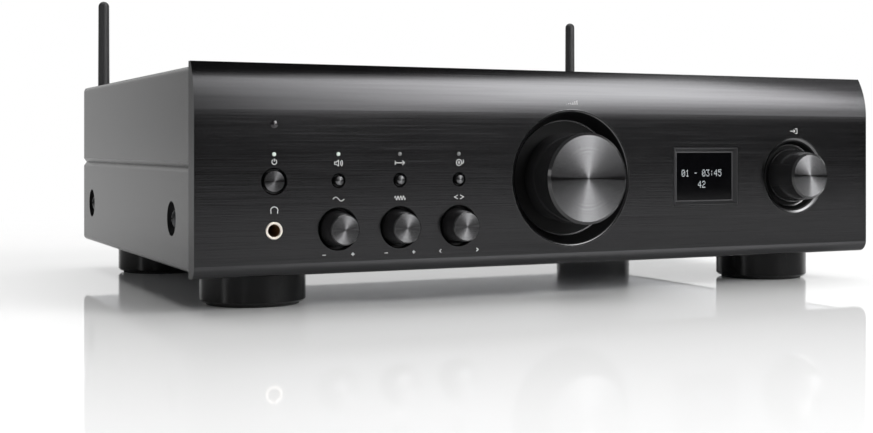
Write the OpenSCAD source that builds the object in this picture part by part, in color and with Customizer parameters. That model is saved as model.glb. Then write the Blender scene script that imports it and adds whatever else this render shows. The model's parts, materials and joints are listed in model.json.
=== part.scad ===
// Stereo receiver with a curved aluminium front, dished knob wells and two rear antennas.
// Frame: X to the right seen from the front, Y to the rear, Z up, origin on the floor under the middle.
// A depth is measured behind the flat face of the front panel, a place is a point in X and Z.

/* [Cabinet] */
// Width of the front panel
panel_w = 434; // [420:1:540]
// Height of the front panel
panel_h = 109; // [105:1:135]
// Depth of the front panel from its face to its back
panel_t = 10.6; // [10.2:0.1:14]
// Thickness of the front panel's face wall
panel_wall = 4; // [3.3:0.1:4.8]
// Height of the top band that curves back
top_band_h = 24; // [18:1:28]
// How far the panel's top edge is set back
top_band_back = 7; // [4:0.5:8.4]
// Radius of the panel's lower front edge
lower_edge_r = 6.5; // [3:0.5:7.8]
// Gap between the floor and the panel's lower edge
ground_gap = 18; // [15:0.5:26]
// Depth of the cabinet from the panel's face to the rear panel
body_d = 299; // [249:1:380]
// Sheet thickness of the cover, chassis and rear panel
sheet_t = 1.2; // [0.8:0.1:1.5]
// How far the cover's sides sit inside the panel's ends
cover_inset = 2; // [1:0.5:4]
// How far the cover's top sits below the panel's top
cover_drop = 1.8; // [1:0.1:4]
// How far the cover's lower edge sits above the panel's lower edge
cover_lift = 1.7; // [1:0.1:3]
// Outer bend radius along the cover's edges
cover_edge_r = 3; // [2:0.5:5]
// Height of the pressed groove along the cover's sides
groove_h = 5; // [3:0.5:8]
// Depth of the pressed groove
groove_depth = 1.8; // [0.8:0.1:2.2]
// Height of the groove above the panel's lower edge
groove_rise = 55.6; // [48:0.1:70]
// Width of one ventilation slot
vent_w = 3.2; // [2:0.1:3.8]
// Length of one ventilation slot
vent_l = 34; // [20:1:40]

/* [Feet] */
// Diameter of a foot
foot_d = 57; // [46:0.5:70]
// Distance of a foot's centre from the panel's end
foot_inset = 45; // [37:1:70]
// Distance of a foot's centre from the panel's face or the rear panel
foot_setback = 47.5; // [46:0.5:70]
// Height of the gap under the foot's rim, which the pad fills
pad_gap = 1.4; // [0.8:0.1:3]

/* [Front rows and columns] */
// Height of the button row above the panel's lower edge
button_rise = 48.5; // [48:0.1:56]
// Height of the tone knob row above the panel's lower edge
tone_rise = 23.5; // [20:0.1:28]
// Height of the indicator row above the panel's lower edge
lamp_rise = 62.3; // [60:0.1:72]
// Height of the remote sensor above the panel's lower edge
sensor_rise = 77.5; // [74:0.1:84]
// Distance of the power button's column from the panel's left end
power_inset = 41.4; // [32:0.1:44]
// Spacing of the columns to the right of the power button
column_pitch = 34.8; // [29:0.1:36]
// Distance of the selector from the panel's right end
selector_inset = 58; // [36:0.5:70]
// Distance from the selector to the middle of the display
display_pitch = 66.5; // [58:0.5:72]

/* [Volume] */
// Outer diameter of the volume well
volume_well_d = 77; // [64:1:78]
// Depth of the volume well
volume_well_depth = 9; // [7.5:0.5:10]
// Diameter of the volume knob
volume_knob_d = 51; // [36:0.5:60]
// How far the volume knob stands out of the panel
volume_proud = 17.5; // [16.4:0.1:26]

/* [Selector] */
// Outer diameter of the selector well
selector_well_d = 47; // [44:0.5:56]
// Depth of the selector well
selector_well_depth = 5; // [4.6:0.1:5.4]
// Diameter of the selector knob at its base
selector_knob_d = 33.6; // [26:0.2:36]
// How far the selector knob stands out of the panel
selector_proud = 15; // [10:0.1:16.2]

/* [Tone knobs] */
// Diameter of the hole round a tone knob
tone_hole_d = 22.5; // [21:0.1:27]
// Diameter of a tone knob at its base
tone_knob_d = 20.2; // [16:0.1:21.4]
// How far a tone knob stands out of the panel
tone_proud = 10.2; // [8:0.1:14]

/* [Buttons and jack] */
// Diameter of the power button
power_d = 10.5; // [9:0.1:15]
// How far the power button stands out
power_proud = 1; // [0.5:0.1:3]
// Travel of the power button
power_travel = 1.5; // [0.5:0.1:1.8]
// Diameter of a small button
small_d = 4.4; // [4.2:0.1:8]
// How far a small button stands out
small_proud = 2; // [1:0.1:4]
// Gap between a button and the rim of its hole
button_gap = 1.1; // [0.4:0.05:1.2]
// Diameter of the bore of the headphone jack
phones_bore_d = 6.4; // [6.3:0.05:6.6]
// Outer diameter of the headphone jack's ring
phones_ring_d = 9; // [8.2:0.1:11]

/* [Display] */
// Width of the display opening in the panel
display_w = 46.5; // [38:0.5:52]
// Height of the display opening in the panel
display_h = 34.5; // [28:0.5:44]
// Width of the sloping border round the window
display_bevel = 3.2; // [2:0.1:4]
// Depth of the sloping border behind the panel's face
display_depth = 1.5; // [1.2:0.1:3.6]

/* [Rear panel] */
// Distance of an antenna from the panel's end
antenna_inset = 21; // [18:0.5:30]
// Height of the antenna joints above the panel's lower edge
antenna_rise = 72; // [66:1:85]
// Distance of the upright antennas behind the rear panel
antenna_offset = 27; // [26:0.5:34]
// Height of an antenna's tip above its joint
antenna_l = 99; // [80:1:180]
// Diameter of an antenna at its foot
antenna_d = 8.3; // [7.6:0.1:10]
// Spacing of the phono jacks in a row
rca_pitch = 19; // [15:0.5:20]
// Spacing of the rows of jacks
rca_row_pitch = 20; // [16:0.5:24]
// Number of columns of jacks
rca_columns = 6; // [2:1:6]
// Outer diameter of a phono jack
rca_d = 8.3; // [8.2:0.01:8.4]
// Length of a phono jack's bare barrel
rca_l = 9.5; // [8:0.5:11.5]
// Spacing of the two speaker terminals of a pair
terminal_pitch = 19; // [18:0.5:22]
// Spacing of the two rows of speaker terminals
terminal_row_pitch = 27; // [20:0.5:32]
// Bore of a speaker terminal for a banana plug
banana_d = 4; // [3.9:0.05:4.2]
// Outer diameter of a speaker terminal's cap
terminal_cap_d = 13.6; // [11:0.2:15]

/* [Fits] */
// Radial clearance of turning and sliding fits
running_gap = 0.05; // [0.02:0.01:0.09]
// Clearance between pieces that are fitted and fixed
fit_gap = 0.1; // [0.05:0.01:0.2]

/* [Hidden] */
$fn = 64;

// Overall frame
antenna_knuckle_r = antenna_d / 2 + 0.25;
overall_d = volume_proud + body_d + antenna_offset + antenna_knuckle_r;
front_y = -overall_d / 2 + volume_proud;
rear_y = front_y + body_d;

// Front panel and the subframe in its back
panel_bottom = ground_gap;
panel_top = panel_bottom + panel_h;
top_band_r = (top_band_h * top_band_h + top_band_back * top_band_back) / (2 * top_band_back);
rim_chamfer = 0.4;
hole_chamfer = 0.6;
pocket_side = 5;
pocket_low = panel_bottom + 8;
pocket_high = panel_top - 14;
pocket_w = panel_w - 2 * pocket_side;
pocket_h = pocket_high - pocket_low;
pocket_mid = [0, (pocket_low + pocket_high) / 2];
frame_front = panel_wall + 3;
frame_back = frame_front + 2.5;
frame_rim = 3;
board_t = 1.6;
board_front = frame_back + 16.5;
switch_front = board_front - 5;

// Rows and columns of the front
button_z = panel_bottom + button_rise;
tone_z = panel_bottom + tone_rise;
lamp_z = panel_bottom + lamp_rise;
sensor_z = panel_bottom + sensor_rise;
power_x = -panel_w / 2 + power_inset;
column_x = [for (i = [1:3]) power_x + i * column_pitch];
lamp_x = concat([power_x], column_x);
selector_x = panel_w / 2 - selector_inset;
display_x = selector_x - display_pitch;
volume_place = [0, button_z];
selector_place = [selector_x, button_z];
display_place = [display_x, button_z];
phones_place = [power_x, tone_z];
boss_r = 3;
boss_places = [
    [power_x - 14, sensor_z + 4],
    [column_x[0] + 17, lamp_z + 14],
    [column_x[2] + 14, lamp_z + 18],
    [column_x[1] + 17, tone_z - 8],
    [display_x - 34, sensor_z + 6],
    [display_x - 34, tone_z - 4],
    [selector_x + 26, sensor_z + 4],
    [selector_x + 26, tone_z - 4]
];

// Wells, knobs and their controls
shaft_r = 3;
knob_clear = 1;
well_floor_t = 1.5;
volume_well_r = volume_well_d / 2;
volume_flange_r = volume_well_r + 1.5;
selector_well_r = selector_well_d / 2;
selector_flange_r = selector_well_r + 2.5;
tone_bush_r = 3.5;
volume_bush_r = 4.5;

// Buttons and lenses
button_stem_r = 2;
tip_r = 1.5;
flange_clear = 0.1;
sensor_r = 2;
lamp_r = 1;

// Display
display_proud = 0.35;
display_edge = 0.35;
display_rim = 0.25;
display_lip = 0.7;
window_sight = [display_w - 2 * display_bevel, display_h - 2 * display_bevel];
window_overlap = 1.2;
window_size = [window_sight[0] + 2 * window_overlap, window_sight[1] + 2 * window_overlap];
window_front = display_depth + 0.4;
window_t = 1.5;

// Cover, chassis and rear panel
cover_half = panel_w / 2 - cover_inset;
cover_low = panel_bottom + cover_lift;
cover_high = panel_top - cover_drop;
cover_mid = [0, (cover_low + cover_high) / 2];
groove_z = panel_bottom + groove_rise;
lip_w = 2.2;
floor_low = cover_low + 0.5;
floor_high = floor_low + sheet_t;
cup_r = 9.25;
cup_depth = 2.4;
cup_floor_x = cover_half - cup_depth;
cup_z = panel_bottom + 28;
cup_depths = [53, body_d - 28.5];
flange_x = cup_floor_x - sheet_t;
flange_high = panel_bottom + 42;
rear_inner = body_d - sheet_t;
rear_flange_h = 12;
rear_screw_inset = 26;
rear_screw_low_x = [-cover_half + rear_screw_inset, -64, 64, cover_half - rear_screw_inset];
rear_screws_low = [for (x = rear_screw_low_x) [x, floor_high + 6.5]];
rear_screws_high = [for (x = [-129, 0, 129]) [x, cover_high - sheet_t - 6]];
rear_screws = concat(rear_screws_low, rear_screws_high);
rear_screw_r = 1.45;
side_screw_r = 2;

// Feet
foot_r = foot_d / 2;
foot_screw_r = 2;
foot_well_r = 10.5;
foot_well_high = 9;
pad_w = 9.5;
pad_outer_r = foot_r - 3.5;
pad_inner_r = pad_outer_r - pad_w;
pad_seat = 1;
foot_places = [
    for (x = [-1, 1], d = [foot_setback, body_d - foot_setback])
        [x * (panel_w / 2 - foot_inset), front_y + d]
];

// Antennas
antenna_x = panel_w / 2 - antenna_inset;
antenna_z = panel_bottom + antenna_rise;
antenna_tip_r = antenna_d / 2 - 0.35;
antenna_bush_r = 3.2;
antenna_bush_l = 9;
antenna_nut_t = 2.4;
fork_slot = 3.6;
hinge_pin_r = 1.2;

// Signal sockets
rca_board_depth = body_d - 19;
socket_board_depth = body_d - 28;
rca_x0 = panel_w / 2 - 47;
rca_z0 = panel_bottom + 38;
rca_flange_t = 1.5;
rca_flange_r = 6.2;
rca_neck_r = 4.4;
rca_wall = 1;
rca_x_last = rca_x0 - (rca_columns - 1) * rca_pitch;
digital_x0 = rca_x_last - 19;
digital_z = panel_bottom + 66;
network_z = panel_bottom + 36;
optical_places = [[digital_x0, digital_z], [digital_x0 - 17, digital_z]];
rca_grid = [
    for (c = [0:rca_columns - 1], r = [0, 1])
        [rca_x0 - c * rca_pitch, rca_z0 + r * rca_row_pitch, rca_board_depth]
];
rca_places = concat(rca_grid, [[digital_x0 - 34, digital_z, socket_board_depth]]);
optical_size = [9.8, 9.8];
optical_mouth = [7, 7];
network_place = [digital_x0 - 6, network_z];
network_size = [16.4, 13.8];
network_mouth = [11.8, 8.4];
usb_place = [digital_x0 - 32, network_z];
usb_size = [15.2, 7.8];
usb_mouth = [12.6, 5.2];
socket_proud = 0.8;

// Mains and speaker connections
mains_place = [-panel_w / 2 + 47, panel_bottom + 32];
mains_size = [27, 20];
mains_mouth = [24.4, 16.6];
blade_pitch = 14;
terminal_x0 = digital_x0 - 86;
pair_pitch = 54;
terminal_x = [for (pair = [0, 1], side = [0, 1]) terminal_x0 - pair * pair_pitch - side * terminal_pitch];
terminal_z = [panel_bottom + 39, panel_bottom + 39 + terminal_row_pitch];
terminal_places = [for (z = terminal_z, x = terminal_x) [x, z]];
terminal_count = len(terminal_places);
terminal_boss_r = 4.6;
post_r = 3;
post_l = 18.5;
post_collar_r = 5;
block_t = 4;
collar_high = block_t + 2;
banana_l = 14;
ground_place = [panel_w / 2 - 29, rca_z0];
ground_r = 2;
ground_washer_t = 1.2;

// Inside
transformer_x = -panel_w / 2 + 82;
transformer_depth = 127;
core_w = 96;
core_h = 80;
core_stack = 45;
core_leg = 32;
core_yoke = 16;
core_window = [(core_w - core_leg) / 2 - core_yoke, core_h - 2 * core_yoke];
sink_x = 14;
sink_w = 164;
sink_h = 72;
sink_depth = 169;
sink_base = 6;
fin_l = 30;
fin_t = 1.8;
fin_count = 22;
amp_board_z = floor_high + 12;
amp_board_top = amp_board_z + board_t;
amp_board_x = [sink_x - 88, sink_x + 90];
amp_board_depth = [58, 208];
post_inset = 6;
post_foot_r = 6;
post_top_r = 3.5;
amp_post_depth = [amp_board_depth[0] + post_inset, 130, amp_board_depth[1] - post_inset];

// Ventilation
vent_pitch = 8.5;
top_vent_x = [for (i = [0:18]) sink_x + (i - 9) * vent_pitch];
top_vent_y = [for (d = [-48, 0, 48]) front_y + sink_depth + d];
floor_vent_x = [for (i = [0:14]) sink_x + (i - 7) * vent_pitch];
floor_vent_y = [for (d = [-26, 20]) front_y + sink_depth + d];

// Colours
black_metal = [0.10, 0.10, 0.105];
cover_grey = [0.30, 0.30, 0.31];
black_plastic = [0.05, 0.05, 0.055];
spun_metal = [0.28, 0.28, 0.29];
bare_metal = [0.72, 0.73, 0.75];
gold = [0.83, 0.66, 0.34];
board_green = [0.08, 0.30, 0.14];
copper = [0.65, 0.36, 0.16];
signal_red = [0.70, 0.08, 0.07];

small_names = ["speaker_button", "direct_button", "phono_button"];
tone_names = ["bass", "treble", "balance"];
side_names = ["left", "right"];

// A solid between two depths, from an outline in X and Z
module slab(d0, d1) {
    translate([0, front_y + d1, 0]) rotate([90, 0, 0]) linear_extrude(d1 - d0) children();
}

// A round bar along Y between two depths, straight or tapered
module bar(place, r0, d0, d1, r1 = 0) {
    translate([place[0], front_y + d0, place[1]]) rotate([-90, 0, 0])
        cylinder(r1 = r0, r2 = r1 > 0 ? r1 : r0, h = d1 - d0);
}

// A round bar along X, from x0 out to x1 on side s
module side_bar(s, depth, z, r, x0, x1) {
    translate([s * x0, front_y + depth, z]) rotate([0, s * 90, 0]) cylinder(r = r, h = x1 - x0);
}

// A turned solid about an axis along Y, whose outline gives radius and depth
module turned(place) {
    translate([place[0], front_y, place[1]]) rotate([-90, 0, 0]) rotate_extrude() children();
}

// A rectangle of the given size about a place, grown by a margin all round
module rect(place, size, margin = 0) {
    translate([place[0], place[1]]) square([size[0] + 2 * margin, size[1] + 2 * margin], center = true);
}

// A rectangle with round corners about a place
module round_rect(place, size, r) {
    translate([place[0], place[1]]) {
        square([size[0] - 2 * r, size[1]], center = true);
        square([size[0], size[1] - 2 * r], center = true);
        for (x = [-1, 1], y = [-1, 1])
            translate([x * (size[0] / 2 - r), y * (size[1] / 2 - r)]) circle(r);
    }
}

// A field of slots with round ends, cut through a level sheet
module vent_slots(xs, ys, z) {
    run = vent_l - vent_w;
    for (x = xs, y = ys)
        translate([x, y, z - 2 * sheet_t]) linear_extrude(4 * sheet_t) {
            square([vent_w, run], center = true);
            for (e = [-1, 1]) translate([0, e * run / 2]) circle(vent_w / 2);
        }
}

// Section of the front panel, depth across and height up
module panel_section() {
    difference() {
        translate([0, panel_bottom]) square([panel_t, panel_h]);
        difference() {
            translate([-1, panel_top - top_band_h]) square([panel_t, top_band_h + 1]);
            translate([top_band_r, panel_top - top_band_h]) circle(top_band_r);
        }
        difference() {
            translate([-1, panel_bottom - 1]) square(lower_edge_r + 1);
            translate([lower_edge_r, panel_bottom + lower_edge_r]) circle(lower_edge_r);
        }
    }
}

// A hole through the panel's face wall with a chamfered rim
module face_hole(place, r, chamfer) {
    bar(place, r, -1, panel_wall + 1);
    bar(place, r + 2 * chamfer, -chamfer, chamfer, r);
}

module front_panel() {
    color(black_metal) difference() {
        translate([0, front_y, 0]) rotate([90, 0, 90]) linear_extrude(panel_w, center = true) panel_section();
        slab(panel_wall, panel_t + 1) rect(pocket_mid, [pocket_w, pocket_h]);
        face_hole(volume_place, volume_well_r - rim_chamfer, rim_chamfer);
        face_hole(selector_place, selector_well_r - rim_chamfer, rim_chamfer);
        slab(-1, panel_wall + 1) rect(display_place, [display_w, display_h]);
        face_hole([power_x, button_z], power_d / 2 + button_gap, hole_chamfer);
        for (x = column_x) {
            face_hole([x, button_z], small_d / 2 + button_gap, hole_chamfer);
            face_hole([x, tone_z], tone_hole_d / 2 - hole_chamfer, hole_chamfer);
        }
        bar(phones_place, phones_ring_d / 2 + fit_gap, -1, panel_wall + 1);
        bar([power_x, sensor_z], sensor_r + fit_gap, -1, panel_wall + 1);
        for (x = lamp_x) bar([x, lamp_z], lamp_r + fit_gap, -1, panel_wall + 1);
    }
}

module front_subframe() {
    through = frame_back + 1;
    color(black_plastic) difference() {
        union() {
            slab(frame_front, frame_back) rect(pocket_mid, [pocket_w, pocket_h], -fit_gap);
            slab(panel_wall, frame_front + 0.5) difference() {
                rect(pocket_mid, [pocket_w, pocket_h], -fit_gap);
                rect(pocket_mid, [pocket_w, pocket_h], -fit_gap - frame_rim);
            }
            for (p = boss_places) bar(p, boss_r, frame_back - 0.5, board_front);
        }
        bar(volume_place, volume_flange_r + fit_gap, 0, frame_front);
        bar(volume_place, volume_well_r - rim_chamfer, 0, through);
        bar(selector_place, tone_bush_r + fit_gap, 0, through);
        slab(0, through) rect(display_place, [display_w, display_h], 2);
        for (x = lamp_x) {
            bar([x, button_z], button_stem_r + running_gap, 0, through);
            bar([x, lamp_z], lamp_r + fit_gap, 0, through);
        }
        for (x = column_x) bar([x, tone_z], tone_bush_r + fit_gap, 0, through);
        bar(phones_place, phones_ring_d / 2 + fit_gap, 0, through);
        bar([power_x, sensor_z], sensor_r + fit_gap, 0, through);
    }
}

// A dished well: gentle lip, steeper wall, bead round the floor, clamping flange and a hole for the bush
module well(place, well_r, lip_w, slope_w, depth, flange_r, bush_r) {
    barrel_r = well_r - rim_chamfer - fit_gap;
    floor_r = well_r - slope_w;
    hole_r = bush_r + fit_gap;
    bead = 0.6;
    lip_depth = 0.3;
    lip_tilt = 25;
    color(black_metal) turned(place) polygon([
        [hole_r, depth + well_floor_t],
        [barrel_r, depth + well_floor_t],
        [barrel_r, frame_front],
        [flange_r, frame_front],
        [flange_r, panel_wall],
        [barrel_r, panel_wall],
        [barrel_r, lip_depth],
        [barrel_r - lip_w, lip_depth + lip_w * tan(lip_tilt)],
        [floor_r + bead, depth - bead],
        [floor_r, depth - bead / 2],
        [floor_r, depth],
        [hole_r, depth]
    ]);
}

module volume_dish() {
    well(volume_place, volume_well_r, 0.9, 6.2, volume_well_depth, volume_flange_r, volume_bush_r);
}

module selector_dish() {
    well(selector_place, selector_well_r, 2.2, 5, selector_well_depth, selector_flange_r, tone_bush_r);
}

// A block with four sloping sides, as two crossed wedges: size at its front, growth on each side, depths
module sloped_block(place, size, growth, d0, d1) {
    back = [size[0] + 2 * growth, size[1] + 2 * growth];
    span = size + back;
    intersection() {
        translate([place[0], front_y, place[1] - span[1]]) linear_extrude(2 * span[1])
            polygon([[-size[0] / 2, d0], [size[0] / 2, d0], [back[0] / 2, d1], [-back[0] / 2, d1]]);
        translate([place[0] - span[0], front_y, place[1]]) rotate([90, 0, 90]) linear_extrude(2 * span[0])
            polygon([[d0, -size[1] / 2], [d0, size[1] / 2], [d1, back[1] / 2], [d1, -back[1] / 2]]);
    }
}

module display_frame() {
    opening = [display_w, display_h];
    edge_in = 2 * (fit_gap + display_edge);
    rim_in = edge_in + 2 * display_rim;
    front_size = [display_w - edge_in, display_h - edge_in];
    mouth_size = [display_w - rim_in, display_h - rim_in];
    slope_w = display_bevel - display_lip - rim_in / 2;
    slope_h = display_depth + display_proud;
    wide_size = [mouth_size[0] + 2 * slope_w, mouth_size[1] + 2 * slope_w];
    block_l = panel_wall + 1 + display_proud;
    color(black_metal) difference() {
        union() {
            intersection() {
                slab(-display_proud, panel_wall + 0.5) rect(display_place, opening, -fit_gap);
                sloped_block(display_place, front_size, block_l, -display_proud, block_l - display_proud);
            }
            slab(panel_wall, frame_front) rect(display_place, opening, 2.5);
        }
        sloped_block(display_place, wide_size, -2 * slope_w, -display_proud - slope_h, display_depth);
        slab(0, frame_front + 1) rect(display_place, window_sight);
        slab(window_front, frame_front + 1) rect(display_place, window_size);
    }
}

module display_window() {
    color([0.02, 0.02, 0.025]) slab(window_front, window_front + window_t)
        rect(display_place, window_size, -fit_gap);
}

module display_module() {
    color(black_plastic) {
        slab(window_front + window_t, frame_front + 0.5) rect(display_place, window_size, -2 * fit_gap);
        slab(frame_front, frame_front + board_t) rect(display_place, [display_w, display_h], 1.8);
    }
}

// A light pipe with a domed front and a collar that seats on the subframe
module lens(place, r, proud) {
    dome_r = 2 * r;
    dome_l = 1.4;
    collar_front = panel_wall + 1;
    tail = frame_back + 4;
    turned(place) {
        intersection() {
            translate([0, -proud]) square([r, dome_l]);
            translate([0, dome_r - proud]) circle(dome_r);
        }
        translate([0, dome_l / 2]) square([r, tail - dome_l / 2]);
        translate([0, collar_front]) square([r + 0.9, frame_front - collar_front]);
    }
}

module front_lenses() {
    color([0.8, 0.82, 0.8]) {
        lens([power_x, sensor_z], sensor_r, 0.5);
        for (x = lamp_x) lens([x, lamp_z], lamp_r, 0.2);
    }
}

module phones_jack() {
    block = [14, 14];
    bore_r = phones_bore_d / 2;
    bore_end = frame_back + 24.5;
    ring_r = phones_ring_d / 2;
    ring_proud = 0.3;
    ring_edge = 0.4;
    mouth = 0.5;
    color(gold) difference() {
        union() {
            bar(phones_place, ring_r - ring_edge, -ring_proud, ring_edge - ring_proud, ring_r);
            bar(phones_place, ring_r, ring_edge - ring_proud, frame_back + 0.5);
            slab(frame_back, bore_end + 4) rect(phones_place, block);
        }
        bar(phones_place, bore_r, -1, bore_end);
        bar(phones_place, bore_r + 2 * mouth, -ring_proud - mouth, -ring_proud + mouth, bore_r);
    }
}

// Section of the folded cover sheet in X and Z
module cover_section() {
    h = cover_high - cover_low;
    inside = cover_half - sheet_t;
    reach = groove_h / 2;
    overcut = reach / groove_depth;
    difference() {
        union() {
            difference() {
                round_rect(cover_mid, [2 * cover_half, h], cover_edge_r);
                round_rect(cover_mid, [2 * inside, h - 2 * sheet_t], cover_edge_r - sheet_t);
                rect([0, cover_low], [2 * (inside - lip_w), 4 * sheet_t]);
            }
            for (s = [-1, 1]) polygon([
                [s * (cover_half - 0.1), groove_z - reach],
                [s * (cover_half - 0.1), groove_z + reach],
                [s * inside, groove_z + reach],
                [s * (inside - groove_depth), groove_z],
                [s * inside, groove_z - reach]
            ]);
        }
        for (s = [-1, 1]) polygon([
            [s * (cover_half + 1), groove_z - reach - overcut],
            [s * (cover_half + 1), groove_z + reach + overcut],
            [s * (cover_half - groove_depth), groove_z]
        ]);
    }
}

module top_cover() {
    inside = cover_half - sheet_t;
    flange_z = cover_high - sheet_t / 2 - rear_flange_h / 2;
    color(cover_grey) difference() {
        union() {
            slab(panel_t, body_d) cover_section();
            slab(rear_inner - sheet_t, rear_inner) rect([0, flange_z], [2 * inside + sheet_t, rear_flange_h]);
            for (s = [-1, 1], d = cup_depths)
                side_bar(s, d, cup_z, cup_r + sheet_t, flange_x, cover_half - sheet_t / 2);
        }
        for (s = [-1, 1], d = cup_depths) {
            side_bar(s, d, cup_z, cup_r, cup_floor_x, cover_half + 1);
            side_bar(s, d, cup_z, side_screw_r + fit_gap, flange_x - 1, cover_half);
        }
        for (p = rear_screws_high) bar(p, rear_screw_r + fit_gap, rear_inner - 2 * sheet_t, rear_inner + 1);
        vent_slots(top_vent_x, top_vent_y, cover_high - sheet_t / 2);
    }
}

module bottom_chassis() {
    front_flange_h = pocket_low - floor_low - 1;
    side_h = flange_high - floor_low;
    color(bare_metal) difference() {
        union() {
            slab(panel_t, body_d) rect([0, floor_low + sheet_t / 2], [2 * flange_x, sheet_t]);
            for (s = [-1, 1])
                slab(panel_t, rear_inner)
                    rect([s * (flange_x - sheet_t / 2), floor_low + side_h / 2], [sheet_t, side_h]);
            slab(panel_t, panel_t + sheet_t)
                rect([0, floor_low + front_flange_h / 2], [2 * flange_x, front_flange_h]);
            slab(rear_inner - sheet_t, rear_inner)
                rect([0, floor_low + rear_flange_h / 2], [2 * flange_x, rear_flange_h]);
            for (x = [amp_board_x[0] + post_inset, amp_board_x[1] - post_inset], d = amp_post_depth)
                translate([x, front_y + d, floor_low])
                    cylinder(r1 = post_foot_r, r2 = post_top_r, h = amp_board_z - floor_low);
        }
        for (s = [-1, 1], d = cup_depths)
            side_bar(s, d, cup_z, side_screw_r + fit_gap, flange_x - 2 * sheet_t, flange_x + 1);
        for (p = rear_screws_low) bar(p, rear_screw_r + fit_gap, rear_inner - 2 * sheet_t, rear_inner + 1);
        for (p = foot_places)
            translate([p[0], p[1], floor_low - 1]) cylinder(r = foot_screw_r + fit_gap, h = sheet_t + 2);
        vent_slots(floor_vent_x, floor_vent_y, floor_low + sheet_t / 2);
    }
}

module rear_panel() {
    low = floor_high;
    high = cover_high - sheet_t - 2 * fit_gap;
    half = cover_half - sheet_t - 2 * fit_gap;
    notch = [groove_depth + 2 * fit_gap, groove_h / 2 + 2 * fit_gap];
    before = rear_inner - 1;
    behind = body_d + 1;
    color(black_metal) difference() {
        slab(rear_inner, body_d) difference() {
            round_rect([0, (low + high) / 2], [2 * half, high - low], cover_edge_r - sheet_t);
            for (s = [-1, 1]) polygon([
                [s * (half + 0.2), groove_z - notch[1]],
                [s * (half + 0.2), groove_z + notch[1]],
                [s * (half - notch[0]), groove_z]
            ]);
        }
        for (p = rear_screws) bar(p, rear_screw_r + fit_gap, before, behind);
        for (p = rca_places) bar(p, rca_neck_r + fit_gap, before, behind);
        for (p = terminal_places) bar(p, terminal_boss_r + fit_gap, before, behind);
        bar(ground_place, ground_r + fit_gap, before, behind);
        for (s = [-1, 1]) bar([s * antenna_x, antenna_z], antenna_bush_r + fit_gap, before, behind);
        slab(before, behind) {
            for (p = optical_places) rect(p, optical_size, fit_gap);
            rect(network_place, network_size, fit_gap);
            rect(usb_place, usb_size, fit_gap);
            rect(mains_place, mains_size, fit_gap);
        }
    }
}

module feet() {
    edge = 1.2;
    hole_r = foot_screw_r + 2 * fit_gap;
    seat_high = pad_gap + pad_seat;
    color(black_plastic) for (p = foot_places)
        translate([p[0], p[1], 0]) rotate_extrude() polygon([
            [hole_r, floor_low],
            [foot_r, floor_low],
            [foot_r, pad_gap + edge],
            [foot_r - edge, pad_gap],
            [pad_outer_r + fit_gap, pad_gap],
            [pad_outer_r + fit_gap, seat_high],
            [pad_inner_r - fit_gap, seat_high],
            [pad_inner_r - fit_gap, pad_gap],
            [foot_well_r, pad_gap],
            [foot_well_r - 1, foot_well_high],
            [hole_r, foot_well_high]
        ]);
}

module foot_pads() {
    color([0.09, 0.09, 0.09]) for (p = foot_places)
        translate([p[0], p[1], 0]) rotate_extrude()
            translate([pad_inner_r, 0]) square([pad_w, pad_gap + pad_seat]);
}

// A cross-headed screw: the head's seat at height 0, the head upward, the shank downward
module cross_screw(shank_r, head_r, head_h, shank_l) {
    dome_r = head_r * 1.6;
    cross = [head_r * 1.1, head_r * 0.22, head_h];
    difference() {
        union() {
            rotate_extrude() intersection() {
                translate([0, head_h - dome_r]) circle(dome_r);
                square([head_r, head_h]);
            }
            translate([0, 0, -shank_l]) cylinder(r = shank_r, h = shank_l + 0.2);
        }
        for (a = [0, 90]) translate([0, 0, head_h]) rotate([0, 0, a]) cube(cross, center = true);
    }
}

module case_screws() {
    foot_shank = floor_high - foot_well_high + 6;
    color(black_metal) {
        for (s = [-1, 1], d = cup_depths)
            translate([s * cup_floor_x, front_y + d, cup_z]) rotate([0, s * 90, 0])
                cross_screw(side_screw_r, 4.6, 2.2, 9);
        for (p = rear_screws)
            translate([p[0], rear_y, p[1]]) rotate([-90, 0, 0]) cross_screw(rear_screw_r, 2.9, 1.8, 7);
        for (p = foot_places)
            translate([p[0], p[1], foot_well_high]) rotate([180, 0, 0])
                cross_screw(foot_screw_r, 4.2, 2.6, foot_shank);
    }
}

module transformer_core() {
    mid_z = floor_high + core_h / 2;
    strap = [core_w + 24, 3];
    color([0.25, 0.25, 0.26])
        slab(transformer_depth - core_stack / 2, transformer_depth + core_stack / 2) difference() {
            union() {
                rect([transformer_x, mid_z], [core_w, core_h]);
                rect([transformer_x, floor_high + strap[1] / 2], strap);
            }
            for (s = [-1, 1]) rect([transformer_x + s * (core_leg + core_window[0]) / 2, mid_z], core_window);
        }
}

module transformer_winding() {
    gap = 0.3;
    outer = [core_leg + 2 * core_window[0] - 2 * gap, core_stack + 2 * core_window[0]];
    h = core_window[1] - 2 * gap;
    color(copper) translate([transformer_x, front_y + transformer_depth, floor_high + (core_h - h) / 2])
        linear_extrude(h) difference() {
            round_rect([0, 0], outer, 6);
            rect([0, 0], [core_leg, core_stack], gap);
        }
}

module heat_sink() {
    pitch = (sink_w - fin_t) / (fin_count - 1);
    corner = [sink_x - sink_w / 2, front_y + sink_depth, amp_board_top];
    color(bare_metal) translate(corner) linear_extrude(sink_h) {
        square([sink_w, sink_base]);
        for (i = [0:fin_count - 1]) translate([i * pitch, sink_base - 1]) square([fin_t, fin_l + 1]);
    }
}

module power_transistors() {
    case = [16, 5, 21];
    color(black_plastic) for (x = [-57, -21, 21, 57])
        translate([sink_x + x - case[0] / 2, front_y + sink_depth - case[1], amp_board_top + 24]) cube(case);
}

module amplifier_board() {
    color(board_green) translate([amp_board_x[0], front_y + amp_board_depth[0], amp_board_z])
        cube([amp_board_x[1] - amp_board_x[0], amp_board_depth[1] - amp_board_depth[0], board_t]);
}

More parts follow.
